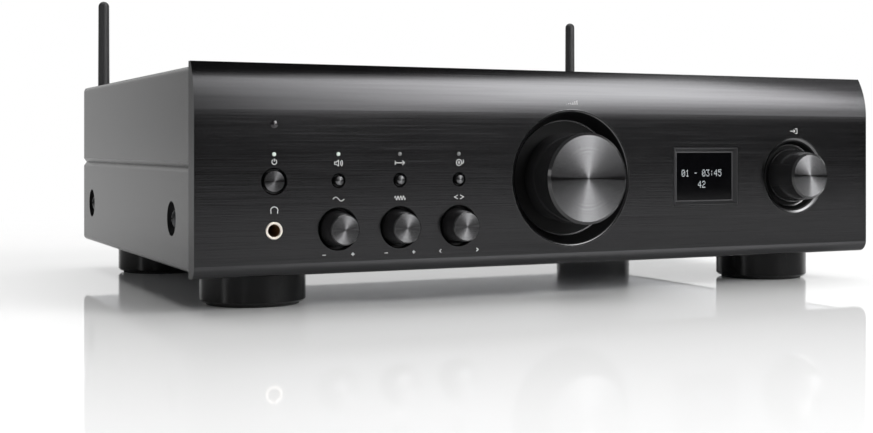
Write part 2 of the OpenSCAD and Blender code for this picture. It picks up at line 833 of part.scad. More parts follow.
// An electrolytic can with a crimped neck near its foot
module can(x, depth, r, h) {
    translate([x, front_y + depth, amp_board_top]) rotate_extrude()
        polygon([[0, 0], [r, 0], [r, 3], [r - 0.8, 4], [r, 5], [r, h - 1], [r - 1, h], [0, h]]);
}

module filter_capacitors() {
    color([0.12, 0.13, 0.2]) {
        for (x = [-58, -18]) can(sink_x + x, 96, 17.5, 50);
        for (x = [20, 44, 68], d = [84, 110]) can(sink_x + x, d, 9, 32);
    }
}

module input_board() {
    edge = 10;
    mid = [(rca_x_last + rca_x0) / 2, rca_z0 + rca_row_pitch / 2];
    color(board_green) slab(rca_board_depth - board_t, rca_board_depth)
        rect(mid, [rca_x0 - rca_x_last, rca_row_pitch], edge);
}

module network_module() {
    mid = [digital_x0 - 18, (digital_z + network_z) / 2];
    front = socket_board_depth - board_t;
    color(board_green) {
        slab(front, socket_board_depth) rect(mid, [54, 56]);
        slab(front - 5, front) rect(mid, [36, 34]);
    }
}

module control_board() {
    color(board_green) slab(board_front, board_front + board_t) difference() {
        rect(pocket_mid, [pocket_w - 14, pocket_h - 4]);
        rect(phones_place, [18, 18]);
    }
}

// A rotary control: body on the board, bush to the front, blind bore for its shaft
module rotary_control(place, body_r, body_l, bush_r, bush_front) {
    difference() {
        union() {
            bar(place, body_r, board_front - body_l, board_front);
            bar(place, bush_r, bush_front, board_front - body_l + 0.5);
        }
        bar(place, shaft_r + running_gap, bush_front - 1, board_front - 1.8);
    }
}

module rotary_controls() {
    bush_proud = 0.4;
    color(bare_metal) {
        for (x = column_x) rotary_control([x, tone_z], 8.2, 8, tone_bush_r, frame_front - bush_proud);
        rotary_control(selector_place, 8.2, 8, tone_bush_r, selector_well_depth - bush_proud);
        rotary_control(volume_place, 12, 10, volume_bush_r, volume_well_depth - bush_proud);
    }
}

module button_switches() {
    color(black_plastic) for (x = lamp_x) difference() {
        slab(switch_front, board_front) rect([x, button_z], [6.2, 6.2]);
        bar([x, button_z], tip_r + running_gap, switch_front - 1, board_front - 1);
    }
}

// A turned knob: flat face, shoulder bevel and tapered skirt, hollow behind, with a hub for its shaft
module knob(place, base_r, shoulder_r, face_r, back, proud, bevel, hub_r, wall) {
    face = -proud;
    roof = face + 4;
    roof_r = max(shoulder_r - wall, hub_r + 0.5);
    bore_r = shaft_r + fit_gap / 5;
    bore_end = face + 5;
    color(spun_metal) turned(place) polygon([
        [0, face],
        [face_r, face],
        [shoulder_r, face + bevel],
        [base_r, back],
        [base_r - wall, back],
        [roof_r, roof],
        [hub_r, roof],
        [hub_r, back],
        [bore_r, back],
        [bore_r, bore_end],
        [0, bore_end]
    ]);
}

module volume_knob() {
    r = volume_knob_d / 2;
    knob(volume_place, r + 0.4, r, r - 1.6, volume_well_depth - knob_clear, volume_proud, 1.2, 8, 3);
}

module selector_knob() {
    r = selector_knob_d / 2;
    knob(selector_place, r, r - 2.9, r - 4.3, selector_well_depth - knob_clear, selector_proud, 1, 6, 2.5);
}

module tone_knob(i) {
    r = tone_knob_d / 2;
    knob([column_x[i], tone_z], r, r - 2.2, r - 2.8, frame_front - knob_clear, tone_proud, 0.6, 4.4, 1.6);
}

// A control shaft, from the bottom of its control to inside the knob's hub
module shaft(place, proud) {
    color(bare_metal) bar(place, shaft_r, -proud + 5.2, board_front - 2);
}

// A push button: domed cap, retaining flange, guided stem and switch tip
module push_button(place, cap_r, proud, flange_w, dome) {
    dome_r = (cap_r * cap_r + dome * dome) / (2 * dome);
    color(spun_metal) turned(place) {
        intersection() {
            translate([0, -proud]) square([cap_r, panel_wall + proud + 2 * flange_clear]);
            translate([0, -proud + dome_r]) circle(dome_r);
        }
        translate([0, panel_wall + flange_clear]) square([cap_r + flange_w, 1]);
        square([button_stem_r, switch_front - power_travel - 0.7]);
        square([tip_r, switch_front + 1.8]);
    }
}

module power_button() {
    push_button([power_x, button_z], power_d / 2, power_proud, 2, 0.4);
}

module small_button(i) {
    push_button([column_x[i], button_z], small_d / 2, small_proud, 1.9, 0.5);
}

module rca_jacks() {
    base = body_d + rca_flange_t;
    color(gold) for (p = rca_places) difference() {
        bar(p, rca_d / 2, base, base + rca_l);
        bar(p, rca_d / 2 - rca_wall, base - 1, base + rca_l + 1);
    }
}

module rca_inserts() {
    core_r = rca_d / 2 - rca_wall - fit_gap;
    base = body_d + rca_flange_t;
    end = base + rca_l - 0.6;
    contact_r = 1.6;
    color(signal_red) for (p = rca_places) turned(p) polygon([
        [0, p[2]],
        [rca_flange_r, p[2]],
        [rca_flange_r, rear_inner],
        [rca_neck_r, rear_inner],
        [rca_neck_r, body_d],
        [rca_flange_r, body_d],
        [rca_flange_r, base],
        [core_r, base],
        [core_r, end],
        [contact_r, end],
        [contact_r, base],
        [0, base]
    ]);
}

// A socket housing from its board to just outside the rear panel, with a blind mouth
module socket_housing(place, size, mouth, mouth_depth) {
    face = body_d + socket_proud;
    difference() {
        slab(socket_board_depth, face) rect(place, size);
        slab(face - mouth_depth, face + 1) rect(place, mouth);
    }
}

module digital_sockets() {
    tongue = [11.2, 1.8];
    color(black_plastic) {
        for (p = optical_places) socket_housing(p, optical_size, optical_mouth, 9);
        socket_housing(network_place, network_size, network_mouth, 13);
        socket_housing(usb_place, usb_size, usb_mouth, 10);
        slab(body_d - 10, body_d) rect([usb_place[0], usb_place[1] + 0.6], tongue);
    }
}

module mains_inlet() {
    mouth_floor = body_d - 13;
    blade = [2, 4];
    color(black_plastic) {
        difference() {
            union() {
                slab(body_d - 20, body_d + 0.5) rect(mains_place, mains_size);
                slab(body_d, body_d + 2.2) round_rect(mains_place, [mains_size[0] + 5, mains_size[1] + 5], 3);
            }
            slab(mouth_floor, body_d + 3) rect(mains_place, mains_mouth);
        }
        for (s = [-1, 1])
            slab(mouth_floor - 1, body_d - 2)
                rect([mains_place[0] + s * blade_pitch / 2, mains_place[1]], blade);
    }
}

module terminal_block() {
    mid = [(terminal_x[0] + terminal_x[3]) / 2, (terminal_z[0] + terminal_z[1]) / 2];
    size = [terminal_x[0] - terminal_x[3] + 22, terminal_row_pitch + 22];
    color(black_plastic) difference() {
        union() {
            slab(body_d, body_d + block_t) round_rect(mid, size, 3);
            for (p = terminal_places) bar(p, terminal_boss_r, rear_inner - 2, body_d + 0.5);
        }
        for (p = terminal_places) bar(p, post_r + fit_gap, rear_inner - 3, body_d + block_t + 1);
    }
}

module terminal_posts() {
    end = body_d + post_l;
    color(gold) {
        for (p = terminal_places) difference() {
            union() {
                bar(p, post_r, rear_inner - 9, end);
                bar(p, post_collar_r, body_d + block_t, body_d + collar_high);
                bar(p, terminal_boss_r, rear_inner - 5.5, rear_inner - 2);
            }
            bar(p, banana_d / 2, end - banana_l, end + 1);
        }
        bar(ground_place, ground_r, rear_inner - 5, body_d + 13);
        bar(ground_place, 2 * ground_r, body_d, body_d + ground_washer_t);
    }
}

// A grip ring with flutes round its rim and a bore for its post
module grip_ring(place, r, bore_r, d0, d1, flutes) {
    flute_r = 1.1;
    ring_r = r + flute_r / 2;
    step = 360 / flutes;
    difference() {
        turned(place) polygon([
            [bore_r, d0],
            [r - 0.6, d0],
            [r, d0 + 0.6],
            [r, d1 - 1.2],
            [r - 1.2, d1],
            [bore_r + 0.6, d1],
            [bore_r, d1 - 0.6]
        ]);
        for (a = [0:step:359])
            bar(place + ring_r * [cos(a), sin(a)], flute_r, d0 + 1.8, d1 + 1);
    }
}

module terminal_cap(i) {
    low = body_d + collar_high + 0.3;
    high = body_d + post_l + 0.8;
    color(i % 2 == 0 ? signal_red : black_plastic)
        grip_ring(terminal_places[i], terminal_cap_d / 2, post_r + running_gap, low, high, 14);
}

module ground_nut() {
    low = body_d + ground_washer_t + 0.3;
    color(bare_metal) grip_ring(ground_place, 4.8, ground_r + running_gap, low, low + 8.5, 12);
}

// Hex nut and threaded bush that carry an antenna
module antenna_sockets() {
    color(gold) for (s = [-1, 1]) {
        place = [s * antenna_x, antenna_z];
        bar(place, antenna_bush_r, rear_inner - 5, body_d + antenna_bush_l);
        slab(body_d, body_d + antenna_nut_t) translate(place) circle(r = 5.4, $fn = 6);
    }
}

// Antenna elbow: grip over the bush, arm to the rear, and a fork with the hinge pin across it
module antenna_elbow(s) {
    place = [s * antenna_x, antenna_z];
    hinge = [s * antenna_x, rear_y + antenna_offset, antenna_z];
    r = antenna_knuckle_r;
    grip_r = 5.4;
    low = body_d + antenna_nut_t + 0.3;
    bore_r = antenna_bush_r + running_gap;
    bore_end = body_d + antenna_bush_l + 0.3;
    color(black_plastic) difference() {
        union() {
            turned(place) polygon([
                [0, bore_end],
                [bore_r, bore_end],
                [bore_r, low],
                [grip_r, low],
                [grip_r, bore_end + 0.7],
                [r, bore_end + 2.2],
                [r, body_d + antenna_offset],
                [0, body_d + antenna_offset]
            ]);
            translate(hinge) intersection() {
                translate([-r, 0, 0]) rotate([0, 90, 0]) cylinder(r = r, h = 2 * r);
                translate([0, -r, 0]) rotate([-90, 0, 0]) cylinder(r = r, h = 2 * r);
            }
        }
        translate(hinge) difference() {
            translate([-fork_slot / 2, -r - 0.3, -r - 1]) cube([fork_slot, 2 * r + 2, 2 * r + 2]);
            translate([-r, 0, 0]) rotate([0, 90, 0]) cylinder(r = hinge_pin_r, h = 2 * r);
        }
    }
}

// Antenna rod: tongue with the hinge bore, tapered shell and round tip
module antenna_rod(s) {
    foot = antenna_knuckle_r + 0.5;
    tongue = fork_slot / 2 - 0.3;
    shell_r = antenna_d / 2;
    tongue_r = shell_r - 0.3;
    neck = antenna_l - antenna_tip_r;
    color(black_plastic) translate([s * antenna_x, rear_y + antenna_offset, antenna_z]) difference() {
        union() {
            translate([0, 0, foot]) cylinder(r1 = shell_r, r2 = antenna_tip_r, h = neck - foot);
            translate([0, 0, neck]) sphere(antenna_tip_r);
            translate([-tongue, -tongue_r, 0]) cube([2 * tongue, 2 * tongue_r, foot + 1]);
            translate([-tongue, 0, 0]) rotate([0, 90, 0]) cylinder(r = tongue_r, h = 2 * tongue);
        }
        translate([-shell_r, 0, 0]) rotate([0, 90, 0])
            cylinder(r = hinge_pin_r + running_gap, h = 2 * shell_r);
    }
}

front_panel();
front_subframe();
volume_dish();
selector_dish();
display_frame();
display_window();
display_module();
front_lenses();
phones_jack();
top_cover();
bottom_chassis();
rear_panel();
feet();
foot_pads();
case_screws();
transformer_core();
transformer_winding();
heat_sink();
power_transistors();
amplifier_board();
filter_capacitors();
input_board();
network_module();
control_board();
rotary_controls();
button_switches();
rca_jacks();
rca_inserts();
digital_sockets();
mains_inlet();
terminal_block();
terminal_posts();
antenna_sockets();
ground_nut();
power_button();
volume_knob();
shaft(volume_place, volume_proud);  // volume_shaft
selector_knob();
shaft(selector_place, selector_proud);  // selector_shaft
for (i = [0:2]) {
    small_button(i);
    tone_knob(i);
    shaft([column_x[i], tone_z], tone_proud);
}
for (i = [0:terminal_count - 1])
    terminal_cap(i);
for (i = [0, 1]) {
    antenna_elbow(2 * i - 1);
    antenna_rod(2 * i - 1);
}
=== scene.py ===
"""Looks of a stereo receiver: finishes, printed marks, display digits and a white studio."""

import json
import math

import bmesh
import bpy
from bpy.props import FloatProperty, FloatVectorProperty, PointerProperty, StringProperty
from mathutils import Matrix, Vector


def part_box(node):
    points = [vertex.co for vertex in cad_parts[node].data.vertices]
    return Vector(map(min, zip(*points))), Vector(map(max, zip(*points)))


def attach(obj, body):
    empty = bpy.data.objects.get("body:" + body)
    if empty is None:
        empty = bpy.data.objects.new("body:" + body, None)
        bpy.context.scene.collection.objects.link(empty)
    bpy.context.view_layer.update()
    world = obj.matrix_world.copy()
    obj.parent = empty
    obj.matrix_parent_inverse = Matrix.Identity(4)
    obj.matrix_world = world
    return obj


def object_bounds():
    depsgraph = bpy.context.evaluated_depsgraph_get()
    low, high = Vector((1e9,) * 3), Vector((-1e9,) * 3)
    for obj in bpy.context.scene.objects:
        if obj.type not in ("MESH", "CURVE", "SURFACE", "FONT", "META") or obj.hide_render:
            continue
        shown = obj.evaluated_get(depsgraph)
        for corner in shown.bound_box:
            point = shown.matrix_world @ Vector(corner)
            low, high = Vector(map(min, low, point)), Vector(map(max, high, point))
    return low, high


bl_info = {
    "name": "Stereo receiver looks",
    "version": (1, 0, 0),
    "blender": (4, 5, 0),
    "location": "View3D > Sidebar > Receiver",
    "description": "Finishes, printed marks, display digits and a white studio for a stereo receiver",
    "category": "Object",
}

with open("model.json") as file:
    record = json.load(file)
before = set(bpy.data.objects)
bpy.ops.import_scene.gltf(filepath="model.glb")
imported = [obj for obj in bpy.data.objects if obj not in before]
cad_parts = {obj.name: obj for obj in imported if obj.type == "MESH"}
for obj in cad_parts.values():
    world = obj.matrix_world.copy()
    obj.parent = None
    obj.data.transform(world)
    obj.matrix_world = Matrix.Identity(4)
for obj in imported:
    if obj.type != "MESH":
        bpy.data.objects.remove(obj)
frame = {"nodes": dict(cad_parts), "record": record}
CAD_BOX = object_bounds()
BODY = "receiver"
MM = 0.001

TONES = ("bass", "treble", "balance")
SIDES = ("left", "right")
TERMINAL_CAPS = [name for name in frame["nodes"] if name.startswith("terminal_cap_")]


def middle(node):
    """Centre of a CAD node's box."""
    low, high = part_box(node)
    return (low + high) / 2


FRONT_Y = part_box("front_panel")[0].y
REAR_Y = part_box("rear_panel")[1].y
PANEL_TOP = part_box("front_panel")[1].z
BUTTON_ROW = middle("power_button").z
TONE_ROW = middle("bass_knob").z
POWER_X = middle("power_button").x
COLUMNS = [middle(tone + "_knob").x for tone in TONES]
SELECTOR_X = middle("selector_knob").x

# Depth to which each control's face is bare spun metal, and the share of the metal's colour that its face
# shows, a painted shade that darkens the smaller faces
FACES = {
    "volume_knob": (0.05 * MM, 0.8),
    "selector_knob": (0.05 * MM, 0.92),
    "bass_knob": (0.05 * MM, 0.66),
    "treble_knob": (0.05 * MM, 0.66),
    "balance_knob": (0.05 * MM, 0.68),
    "power_button": (0.4 * MM, 0.44),
    "speaker_button": (0.5 * MM, 0.9),
    "direct_button": (0.5 * MM, 0.9),
    "phono_button": (0.5 * MM, 0.9),
}

# Softbox whose light falls off from its middle: how far off it is, its power per square metre, and for
# each layer its share of the brightness, size, heading and elevation
SOFTBOX_DISTANCE = 1.65
SOFTBOX_WATTS = 4
SOFTBOX = (
    (0.22, (0.47, 0.52), 40, 30.6),
    (0.25, (0.74, 0.81), 39.0, 30.4),
    (0.20, (0.92, 1.04), 35.6, 28.5),
    (0.09, (1.08, 1.12), 32.6, 28.6),
    (0.08, (1.17, 1.24), 32.2, 27.6),
    (0.08, (1.26, 1.36), 31.8, 26.6),
    (0.08, (2.0, 1.4), 36, 27.5),
)

# Other lights: size, heading right of straight ahead, elevation and distance
GLINT = ((0.08, 0.25), -43, 8, 1.5)
LEFT_STRIP = ((0.12, 0.9), -83, 6, 1.3)
LEFT_FILL = ((1.4, 1.0), -92, 24, 1.7)
OVERHEAD = ((1.8, 1.4), 180, 84, 1.9)

# Sizes of the left fill's layers, as shares of its mean size
FILL_STEPS = (0.6, 0.75, 0.9, 1.05, 1.2, 1.35)

# Outer radius of the bright ring that the panel has round each well, and the ring's width: polish and a
# painted highlight that stands in for the glint of an edge the panel's shape lacks
RIM_HIGHLIGHT_WIDTH = 0.5 * MM
RIM_HIGHLIGHTS = {"volume_dish": 38.6 * MM, "selector_dish": 23.6 * MM}

# Inner and outer radius of the bead in each well, and the radius at which its lip starts; both are painted
# as bright metal, polish and a painted highlight that stands in for the glints of edges the well's shape
# lacks
WELL_HIGHLIGHTS = {
    "volume_dish": (32.2 * MM, 32.95 * MM, 37.5 * MM),
    "selector_dish": (18.4 * MM, 19.15 * MM, 21.7 * MM),
}

# Height of the panel's curved band, and how far its top edge is set back
BAND_HEIGHT = 24 * MM
BAND_BACK = 7 * MM

# Height at which the panel starts to curve back, and how its bend is eased into the flat face
BEND_Z = PANEL_TOP - BAND_HEIGHT
BEND_BLEND = 6 * MM
BEND_TIP = 0.034

# Distances from the receiver between which the floor fades to white, and between which it loses its gloss
FLOOR_FADE = (0.02, 0.58)
FLOOR_DULL = (0.22, 0.5)

# Directions, as parts of a unit vector along Y and X, between which the room goes from dim to white
ROOM_BACK = (-0.2, 0.3)
ROOM_RIGHT = (-0.5, -0.12)

# How far the grooves of a spun face tip its normal
SPUN_TILT = 0.55

# Printed digits in millimetres about their middle, each a list of lines
DIGIT_LINES = {
    1: [[(-0.5, 0.7), (0, 1.2), (0, -1.2)]],
    2: [[(-0.7, 1.2), (0.7, 1.2), (0.7, 0), (-0.7, 0), (-0.7, -1.2), (0.7, -1.2)]],
    3: [[(-0.7, 1.2), (0.7, 1.2), (0, 0.2), (0.7, -0.4), (0.7, -1.2), (-0.7, -1.2)]],
    4: [[(0.3, -1.2), (0.3, 1.2), (-0.8, -0.4), (0.8, -0.4)]],
    5: [[(0.7, 1.2), (-0.7, 1.2), (-0.7, 0.1), (0.7, 0.1), (0.7, -1.2), (-0.7, -1.2)]],
    6: [[(0.7, 1.2), (-0.7, 1.2), (-0.7, -1.2), (0.7, -1.2), (0.7, 0), (-0.4, 0)]],
}

# Lit dots of each sign on the display, row by row from the top
DOT_SIGNS = {
    "0": "01110 10001 10011 10101 11001 10001 01110",
    "1": "00100 01100 00100 00100 00100 00100 01110",
    "2": "01110 10001 00001 00110 01000 10000 11111",
    "3": "11111 00010 00100 00010 00001 10001 01110",
    "4": "00010 00110 01010 10010 11111 00010 00010",
    "5": "11111 10000 11110 00001 00001 10001 01110",
    ":": "00000 00100 00100 00000 00100 00100 00000",
    "-": "00000 00000 00000 01110 00000 00000 00000",
    " ": "00000 00000 00000 00000 00000 00000 00000",
}
SIGN_COLUMNS = 5
SIGN_ROWS = 7


def colour(name, description, default):
    """A colour that a user can change."""
    return FloatVectorProperty(
        name=name, description=description, subtype="COLOR", size=3, min=0, max=1, default=default
    )


def length(name, description, default):
    """A length in metres that a user can change."""
    return FloatProperty(
        name=name, description=description, unit="LENGTH", min=0, default=default, precision=5
    )


def amount(name, description, default):
    """A plain number that a user can change."""
    return FloatProperty(name=name, description=description, min=0, default=default)


def shade(paint, share):
    """A colour made darker or lighter by a share."""
    return [c * share for c in paint]


class ReceiverFinishes(bpy.types.PropertyGroup):
    """Colours of the receiver's surfaces."""

    panel: colour("Front panel", "Black anodised aluminium of the front", (0.0485, 0.0485, 0.05))
    # Bright metal on the rings round the wells and on the wells' beads and lips: polish and a painted
    # highlight for edge glints that the shapes lack
    rim: colour("Rims", "Polished rims of the panel's wells", (0.16, 0.16, 0.163))
    bezel: colour("Display frame", "Anodised aluminium round the display", (0.066, 0.066, 0.068))
    dish: colour("Wells", "Black coating of the knob wells", (0.006, 0.006, 0.0062))
    spun: colour("Spun faces", "Metal of the knob and button faces", (0.112, 0.112, 0.115))
    skirt: colour("Knob skirts", "Gloss black of the knobs' sides", (0.018, 0.018, 0.0186))
    cover: colour("Cover", "Charcoal paint of the cover", (0.018, 0.018, 0.0185))
    rear: colour("Rear panel", "Black paint of the rear panel", (0.022, 0.022, 0.023))
    steel: colour("Plated steel", "Zinc plating of the chassis and shafts", (0.55, 0.56, 0.58))
    plastic: colour("Black plastic", "Moulded sockets, caps and antennas", (0.02, 0.02, 0.021))
    foot: colour("Feet", "Gloss black of the feet", (0.006, 0.006, 0.0062))
    rubber: colour("Rubber", "Pads under the feet", (0.016, 0.016, 0.016))
    gold: colour("Gold plating", "Jacks and terminal posts", (0.86, 0.64, 0.34))
    pale_gold: colour("Pale gold", "Ring of the headphone jack", (0.98, 0.91, 0.82))
    ink: colour("Ink", "White print on the panels", (0.64, 0.64, 0.64))
    red: colour("Red plastic", "Right channel and positive terminals", (0.45, 0.02, 0.02))
    board: colour("Circuit board", "Solder resist", (0.02, 0.13, 0.05))
    copper: colour("Copper", "Transformer winding", (0.55, 0.24, 0.10))
    lamp: colour("Lamps", "Light of the lit indicators", (0.43, 0.5, 0.45))
    digits: colour("Digits", "Light of the display", (0.62, 0.68, 0.72))


class ReceiverMarks(bpy.types.PropertyGroup):
    """Sizes of the printed marks and the display's digits."""

    line: length("Line", "Width of a printed line", 0.38 * MM)
    scale: amount("Scale", "Size of the pictograms", 1.15)
    ink_film: length("Ink film", "Thickness of the print", 0.02 * MM)
    dot: length("Dot", "Width of one lit dot", 0.36 * MM)
    dot_pitch: length("Dot pitch", "Spacing of the display's dots", 0.49 * MM)
    dot_stretch: amount("Dot stretch", "Height of a dot as a share of its width", 1.2)
    digits_left: length("Digits to the left", "How far left of the window's middle the digits are", 1.7 * MM)
    upper_row: StringProperty(
        name="Upper row", description="Digits in the display's upper row", default="01 - 03:45"
    )
    lower_row: StringProperty(
        name="Lower row", description="Digits in the display's lower row", default="42"
    )


class ReceiverStage(bpy.types.PropertyGroup):
    """Camera, floor and light."""

    lens: length("Lens", "Focal length for a sensor 36 mm wide", 54.35 * MM)
    drop: FloatProperty(name="Drop", description="Vertical shift of the frame", default=-0.0797)
    camera: FloatVectorProperty(
        name="Camera",
        description="Place of the camera",
        subtype="TRANSLATION",
        default=(-0.388, FRONT_Y - 0.638, 0.084),
    )
    heading: FloatProperty(
        name="Heading",
        description="Turn of the camera to the right",
        subtype="ANGLE",
        default=math.radians(25.43),
    )
    floor: colour("Floor", "Pale floor", (0.92, 0.92, 0.92))
    floor_front: length("Floor in front", "How far the floor reaches in front of the receiver", 1.25)
    floor_right: length("Floor at the right", "How far the floor reaches to the right of the receiver", 1.2)
    room_front: amount("Room in front", "Brightness of the room in front of the receiver", 0.05)
    room_back: amount("Room behind", "Brightness of the white room behind it", 1.0)
    key: amount("Key light", "Brightness of the softbox at the upper right", 8.4)
    glint: amount("Glint light", "Power of the small light at the front left", 0.22)
    strip: amount("Strip light", "Power of the tall strip at the left", 1.3)
    left: amount("Left light", "Power of the dim light at the left", 3.0)
    overhead: amount("Overhead light", "Power of the large light above", 20.0)


class Value:
    """A socket of a node tree. Arithmetic on it adds Math nodes."""

    def __init__(self, shading, socket):
        self.shading = shading
        self.socket = socket

    def math(self, operation, first, second):
        return self.shading.node("ShaderNodeMath", {"operation": operation}, {0: first, 1: second})

    def __add__(self, other):
        return self.math("ADD", self, other)

    def __sub__(self, other):
        return self.math("SUBTRACT", self, other)

    def __rsub__(self, other):
        return self.math("SUBTRACT", other, self)

    def __mul__(self, other):
        return self.math("MULTIPLY", self, other)

    def __truediv__(self, other):
        return self.math("DIVIDE", self, other)

    def __gt__(self, other):
        return self.math("GREATER_THAN", self, other)

    def __lt__(self, other):
        return self.math("LESS_THAN", self, other)

    def __pow__(self, other):
        return self.math("POWER", self, other)

    __radd__ = __add__
    __rmul__ = __mul__


class Shading:
    """Adds nodes to one node tree."""

    def __init__(self, tree):
        self.tree = tree

    def node(self, kind, settings, inputs, output=0):
        """Adds a node, sets it, feeds its sockets and returns one of its outputs."""
        node = self.tree.nodes.new(kind)
        for key, value in settings.items():
            setattr(node, key, value)
        for key, value in inputs.items():
            self.feed(node.inputs[key], value)
        return Value(self, node.outputs[output])

    def feed(self, socket, value):
        """Links a value to a socket, or sets a number or colour on it."""
        if isinstance(value, Value):
            self.tree.links.new(value.socket, socket)
        elif socket.type == "RGBA":
            socket.default_value = (*value[:3], 1.0)
        else:
            socket.default_value = value

    def place(self):
        """Place on the object, in metres in the receiver's frame."""
        return self.node("ShaderNodeTexCoord", {}, {}, "Object")

    def axes(self, vector):
        """The three parts of a vector."""
        split = self.node("ShaderNodeSeparateXYZ", {}, {0: vector})
        sockets = split.socket.node.outputs
        return [Value(self, sockets[i]) for i in range(3)]

    def stretched(self, vector, scale):
        """A vector with each axis scaled by its own factor."""
        return self.node("ShaderNodeVectorMath", {"operation": "MULTIPLY"}, {0: vector, 1: scale})

    def noise(self, vector, scale, detail=2.0, roughness=0.5):
        """Soft random values between 0 and 1."""
        inputs = {"Vector": vector, "Scale": scale, "Detail": detail, "Roughness": roughness}
        return self.node("ShaderNodeTexNoise", {}, inputs)

    def saw(self, distance, pitch):
        """Grooves of even slope along a distance, from -1 to 1, with an uneven pitch."""
        wander = self.grooves(distance, 8 * pitch) * 3
        share = self.node("ShaderNodeMath", {"operation": "FRACT"}, {0: distance / pitch + wander})
        return share * 2 - 1

    def grooves(self, distance, pitch, detail=1.0):
        """Random grooves along a distance."""
        inputs = {"W": distance / pitch, "Scale": 1.0, "Detail": detail}
        return self.node("ShaderNodeTexNoise", {"noise_dimensions": "1D"}, inputs)

    def ease(self, value, start, end):
        """Rises smoothly from 0 at start to 1 at end."""
        inputs = {"Value": value, "From Min": start, "From Max": end}
        return self.node("ShaderNodeMapRange", {"interpolation_type": "SMOOTHSTEP"}, inputs)

    def beyond(self, value, limit):
        """How far a value lies outside a limit on either side of 0."""
        size = self.node("ShaderNodeMath", {"operation": "ABSOLUTE"}, {0: value})
        return self.node("ShaderNodeMath", {"operation": "MAXIMUM"}, {0: size - limit, 1: 0.0})

    def blend(self, mask, first, second):
        """The first colour where the mask is 0 and the second where it is 1."""
        return self.node("ShaderNodeMix", {"data_type": "RGBA"}, {0: mask, 6: first, 7: second}, 2)

    def turned(self, normal_tilt, across, up):
        """A normal that tips away from an axis along Y by a share of a unit."""
        spoke = self.node("ShaderNodeCombineXYZ", {}, {"X": across, "Y": 0.0, "Z": up})
        out = self.node("ShaderNodeVectorMath", {"operation": "NORMALIZE"}, {0: spoke})
        settings = {"vector_type": "VECTOR", "convert_from": "OBJECT", "convert_to": "WORLD"}
        world = self.node("ShaderNodeVectorTransform", settings, {0: out})
        tip = self.node("ShaderNodeVectorMath", {"operation": "SCALE"}, {0: world, "Scale": normal_tilt})
        face = self.node("ShaderNodeNewGeometry", {}, {}, "Normal")
        tilted = self.node("ShaderNodeVectorMath", {"operation": "ADD"}, {0: face, 1: tip})
        return self.node("ShaderNodeVectorMath", {"operation": "NORMALIZE"}, {0: tilted})

    def tipped(self, normal, direction, amount):
        """A normal that leans towards a fixed direction by a small amount."""
        lean = self.node("ShaderNodeVectorMath", {"operation": "SCALE"}, {0: direction, "Scale": amount})
        leaning = self.node("ShaderNodeVectorMath", {"operation": "ADD"}, {0: normal, 1: lean})
        return self.node("ShaderNodeVectorMath", {"operation": "NORMALIZE"}, {0: leaning})

    def band(self, value, low, high):
        """1 where a value lies between two limits, else 0."""
        return (value > low) * (value < high)

    def bump(self, height, depth):
        """A normal from a height between 0 and 1 and its depth in metres."""
        return self.node("ShaderNodeBump", {}, {"Height": height, "Distance": depth, "Strength": 1.0})


class Finish(Shading):
    """A material around one Principled shader."""

    def __init__(self, name):
        self.material = bpy.data.materials.new(name)
        self.material.use_nodes = True
        super().__init__(self.material.node_tree)
        self.shader = self.tree.nodes["Principled BSDF"]

    def set(self, **sockets):
        """Feeds sockets of the shader; an underscore stands for a space."""
        for key, value in sockets.items():
            self.feed(self.shader.inputs[key.replace("_", " ")], value)
        return self

    def spokes(self, node):
        """Steps across and up from a turned piece's axis, which runs along Y, and the distance from it."""
        centre = middle(node)
        x, _, z = self.axes(self.place())
        across = x - centre.x
        up = z - centre.z
        return across, up, (across * across + up * up) ** 0.5

    def coat(self, *nodes):
        """Puts the material on CAD nodes."""
        for node in nodes:
            for slot in frame["nodes"][node].material_slots:
                slot.material = self.material


def brushed_panel(finishes):
    """Black anodised aluminium with hairlines along X."""
    finish = Finish("brushed_black")
    place = finish.place()
    hair = finish.noise(finish.stretched(place, (14.0, 5200.0, 5200.0)), 1.0, 2.0)
    streak = finish.noise(finish.stretched(place, (9.0, 620.0, 620.0)), 1.0, 3.0, 0.6)
    tint = finish.blend(streak, shade(finishes.panel, 0.8), shade(finishes.panel, 1.2))
    # Rings round the wells in bright metal: polish and a painted highlight for the glints of their edges
    rim_highlights = 0.0
    for well, radius in RIM_HIGHLIGHTS.items():
        _, _, reach = finish.spokes(well)
        rim_highlights = finish.band(reach, radius - RIM_HIGHLIGHT_WIDTH, radius) + rim_highlights
    _, _, z = finish.axes(place)
    near_bend = 1 - finish.beyond((z - BEND_Z) / BEND_BLEND, 0.0)
    softened = finish.node("ShaderNodeMath", {"operation": "MAXIMUM"}, {0: near_bend, 1: 0.0}) ** 2
    grain = finish.bump(hair + streak * 0.5, 0.000014)
    return finish.set(
        Base_Color=finish.blend(rim_highlights, tint, finishes.rim),
        Metallic=1.0,
        Roughness=0.122 + streak * 0.05,
        Specular_Tint=(0.6, 0.6, 0.6),
        Normal=finish.tipped(grain, (0, 0, 1), softened * BEND_TIP),
    )


def sheet_paint(name, paint, roughness, gloss, dull_above=1.0):
    """Satin paint on sheet steel, with a fine powder grain, duller above a height where one is given."""
    finish = Finish(name)
    place = finish.place()
    fine = finish.noise(place, 2400.0, 2.0)
    cloud = finish.noise(place, 14.0, 2.0)
    tint = finish.blend(cloud, shade(paint, 0.94), shade(paint, 1.06))
    _, _, z = finish.axes(place)
    return finish.set(
        Base_Color=tint,
        Roughness=roughness + fine * 0.12 + (z > dull_above) * 0.24,
        Specular_IOR_Level=gloss,
        Normal=finish.bump(fine, 0.00002),
    )


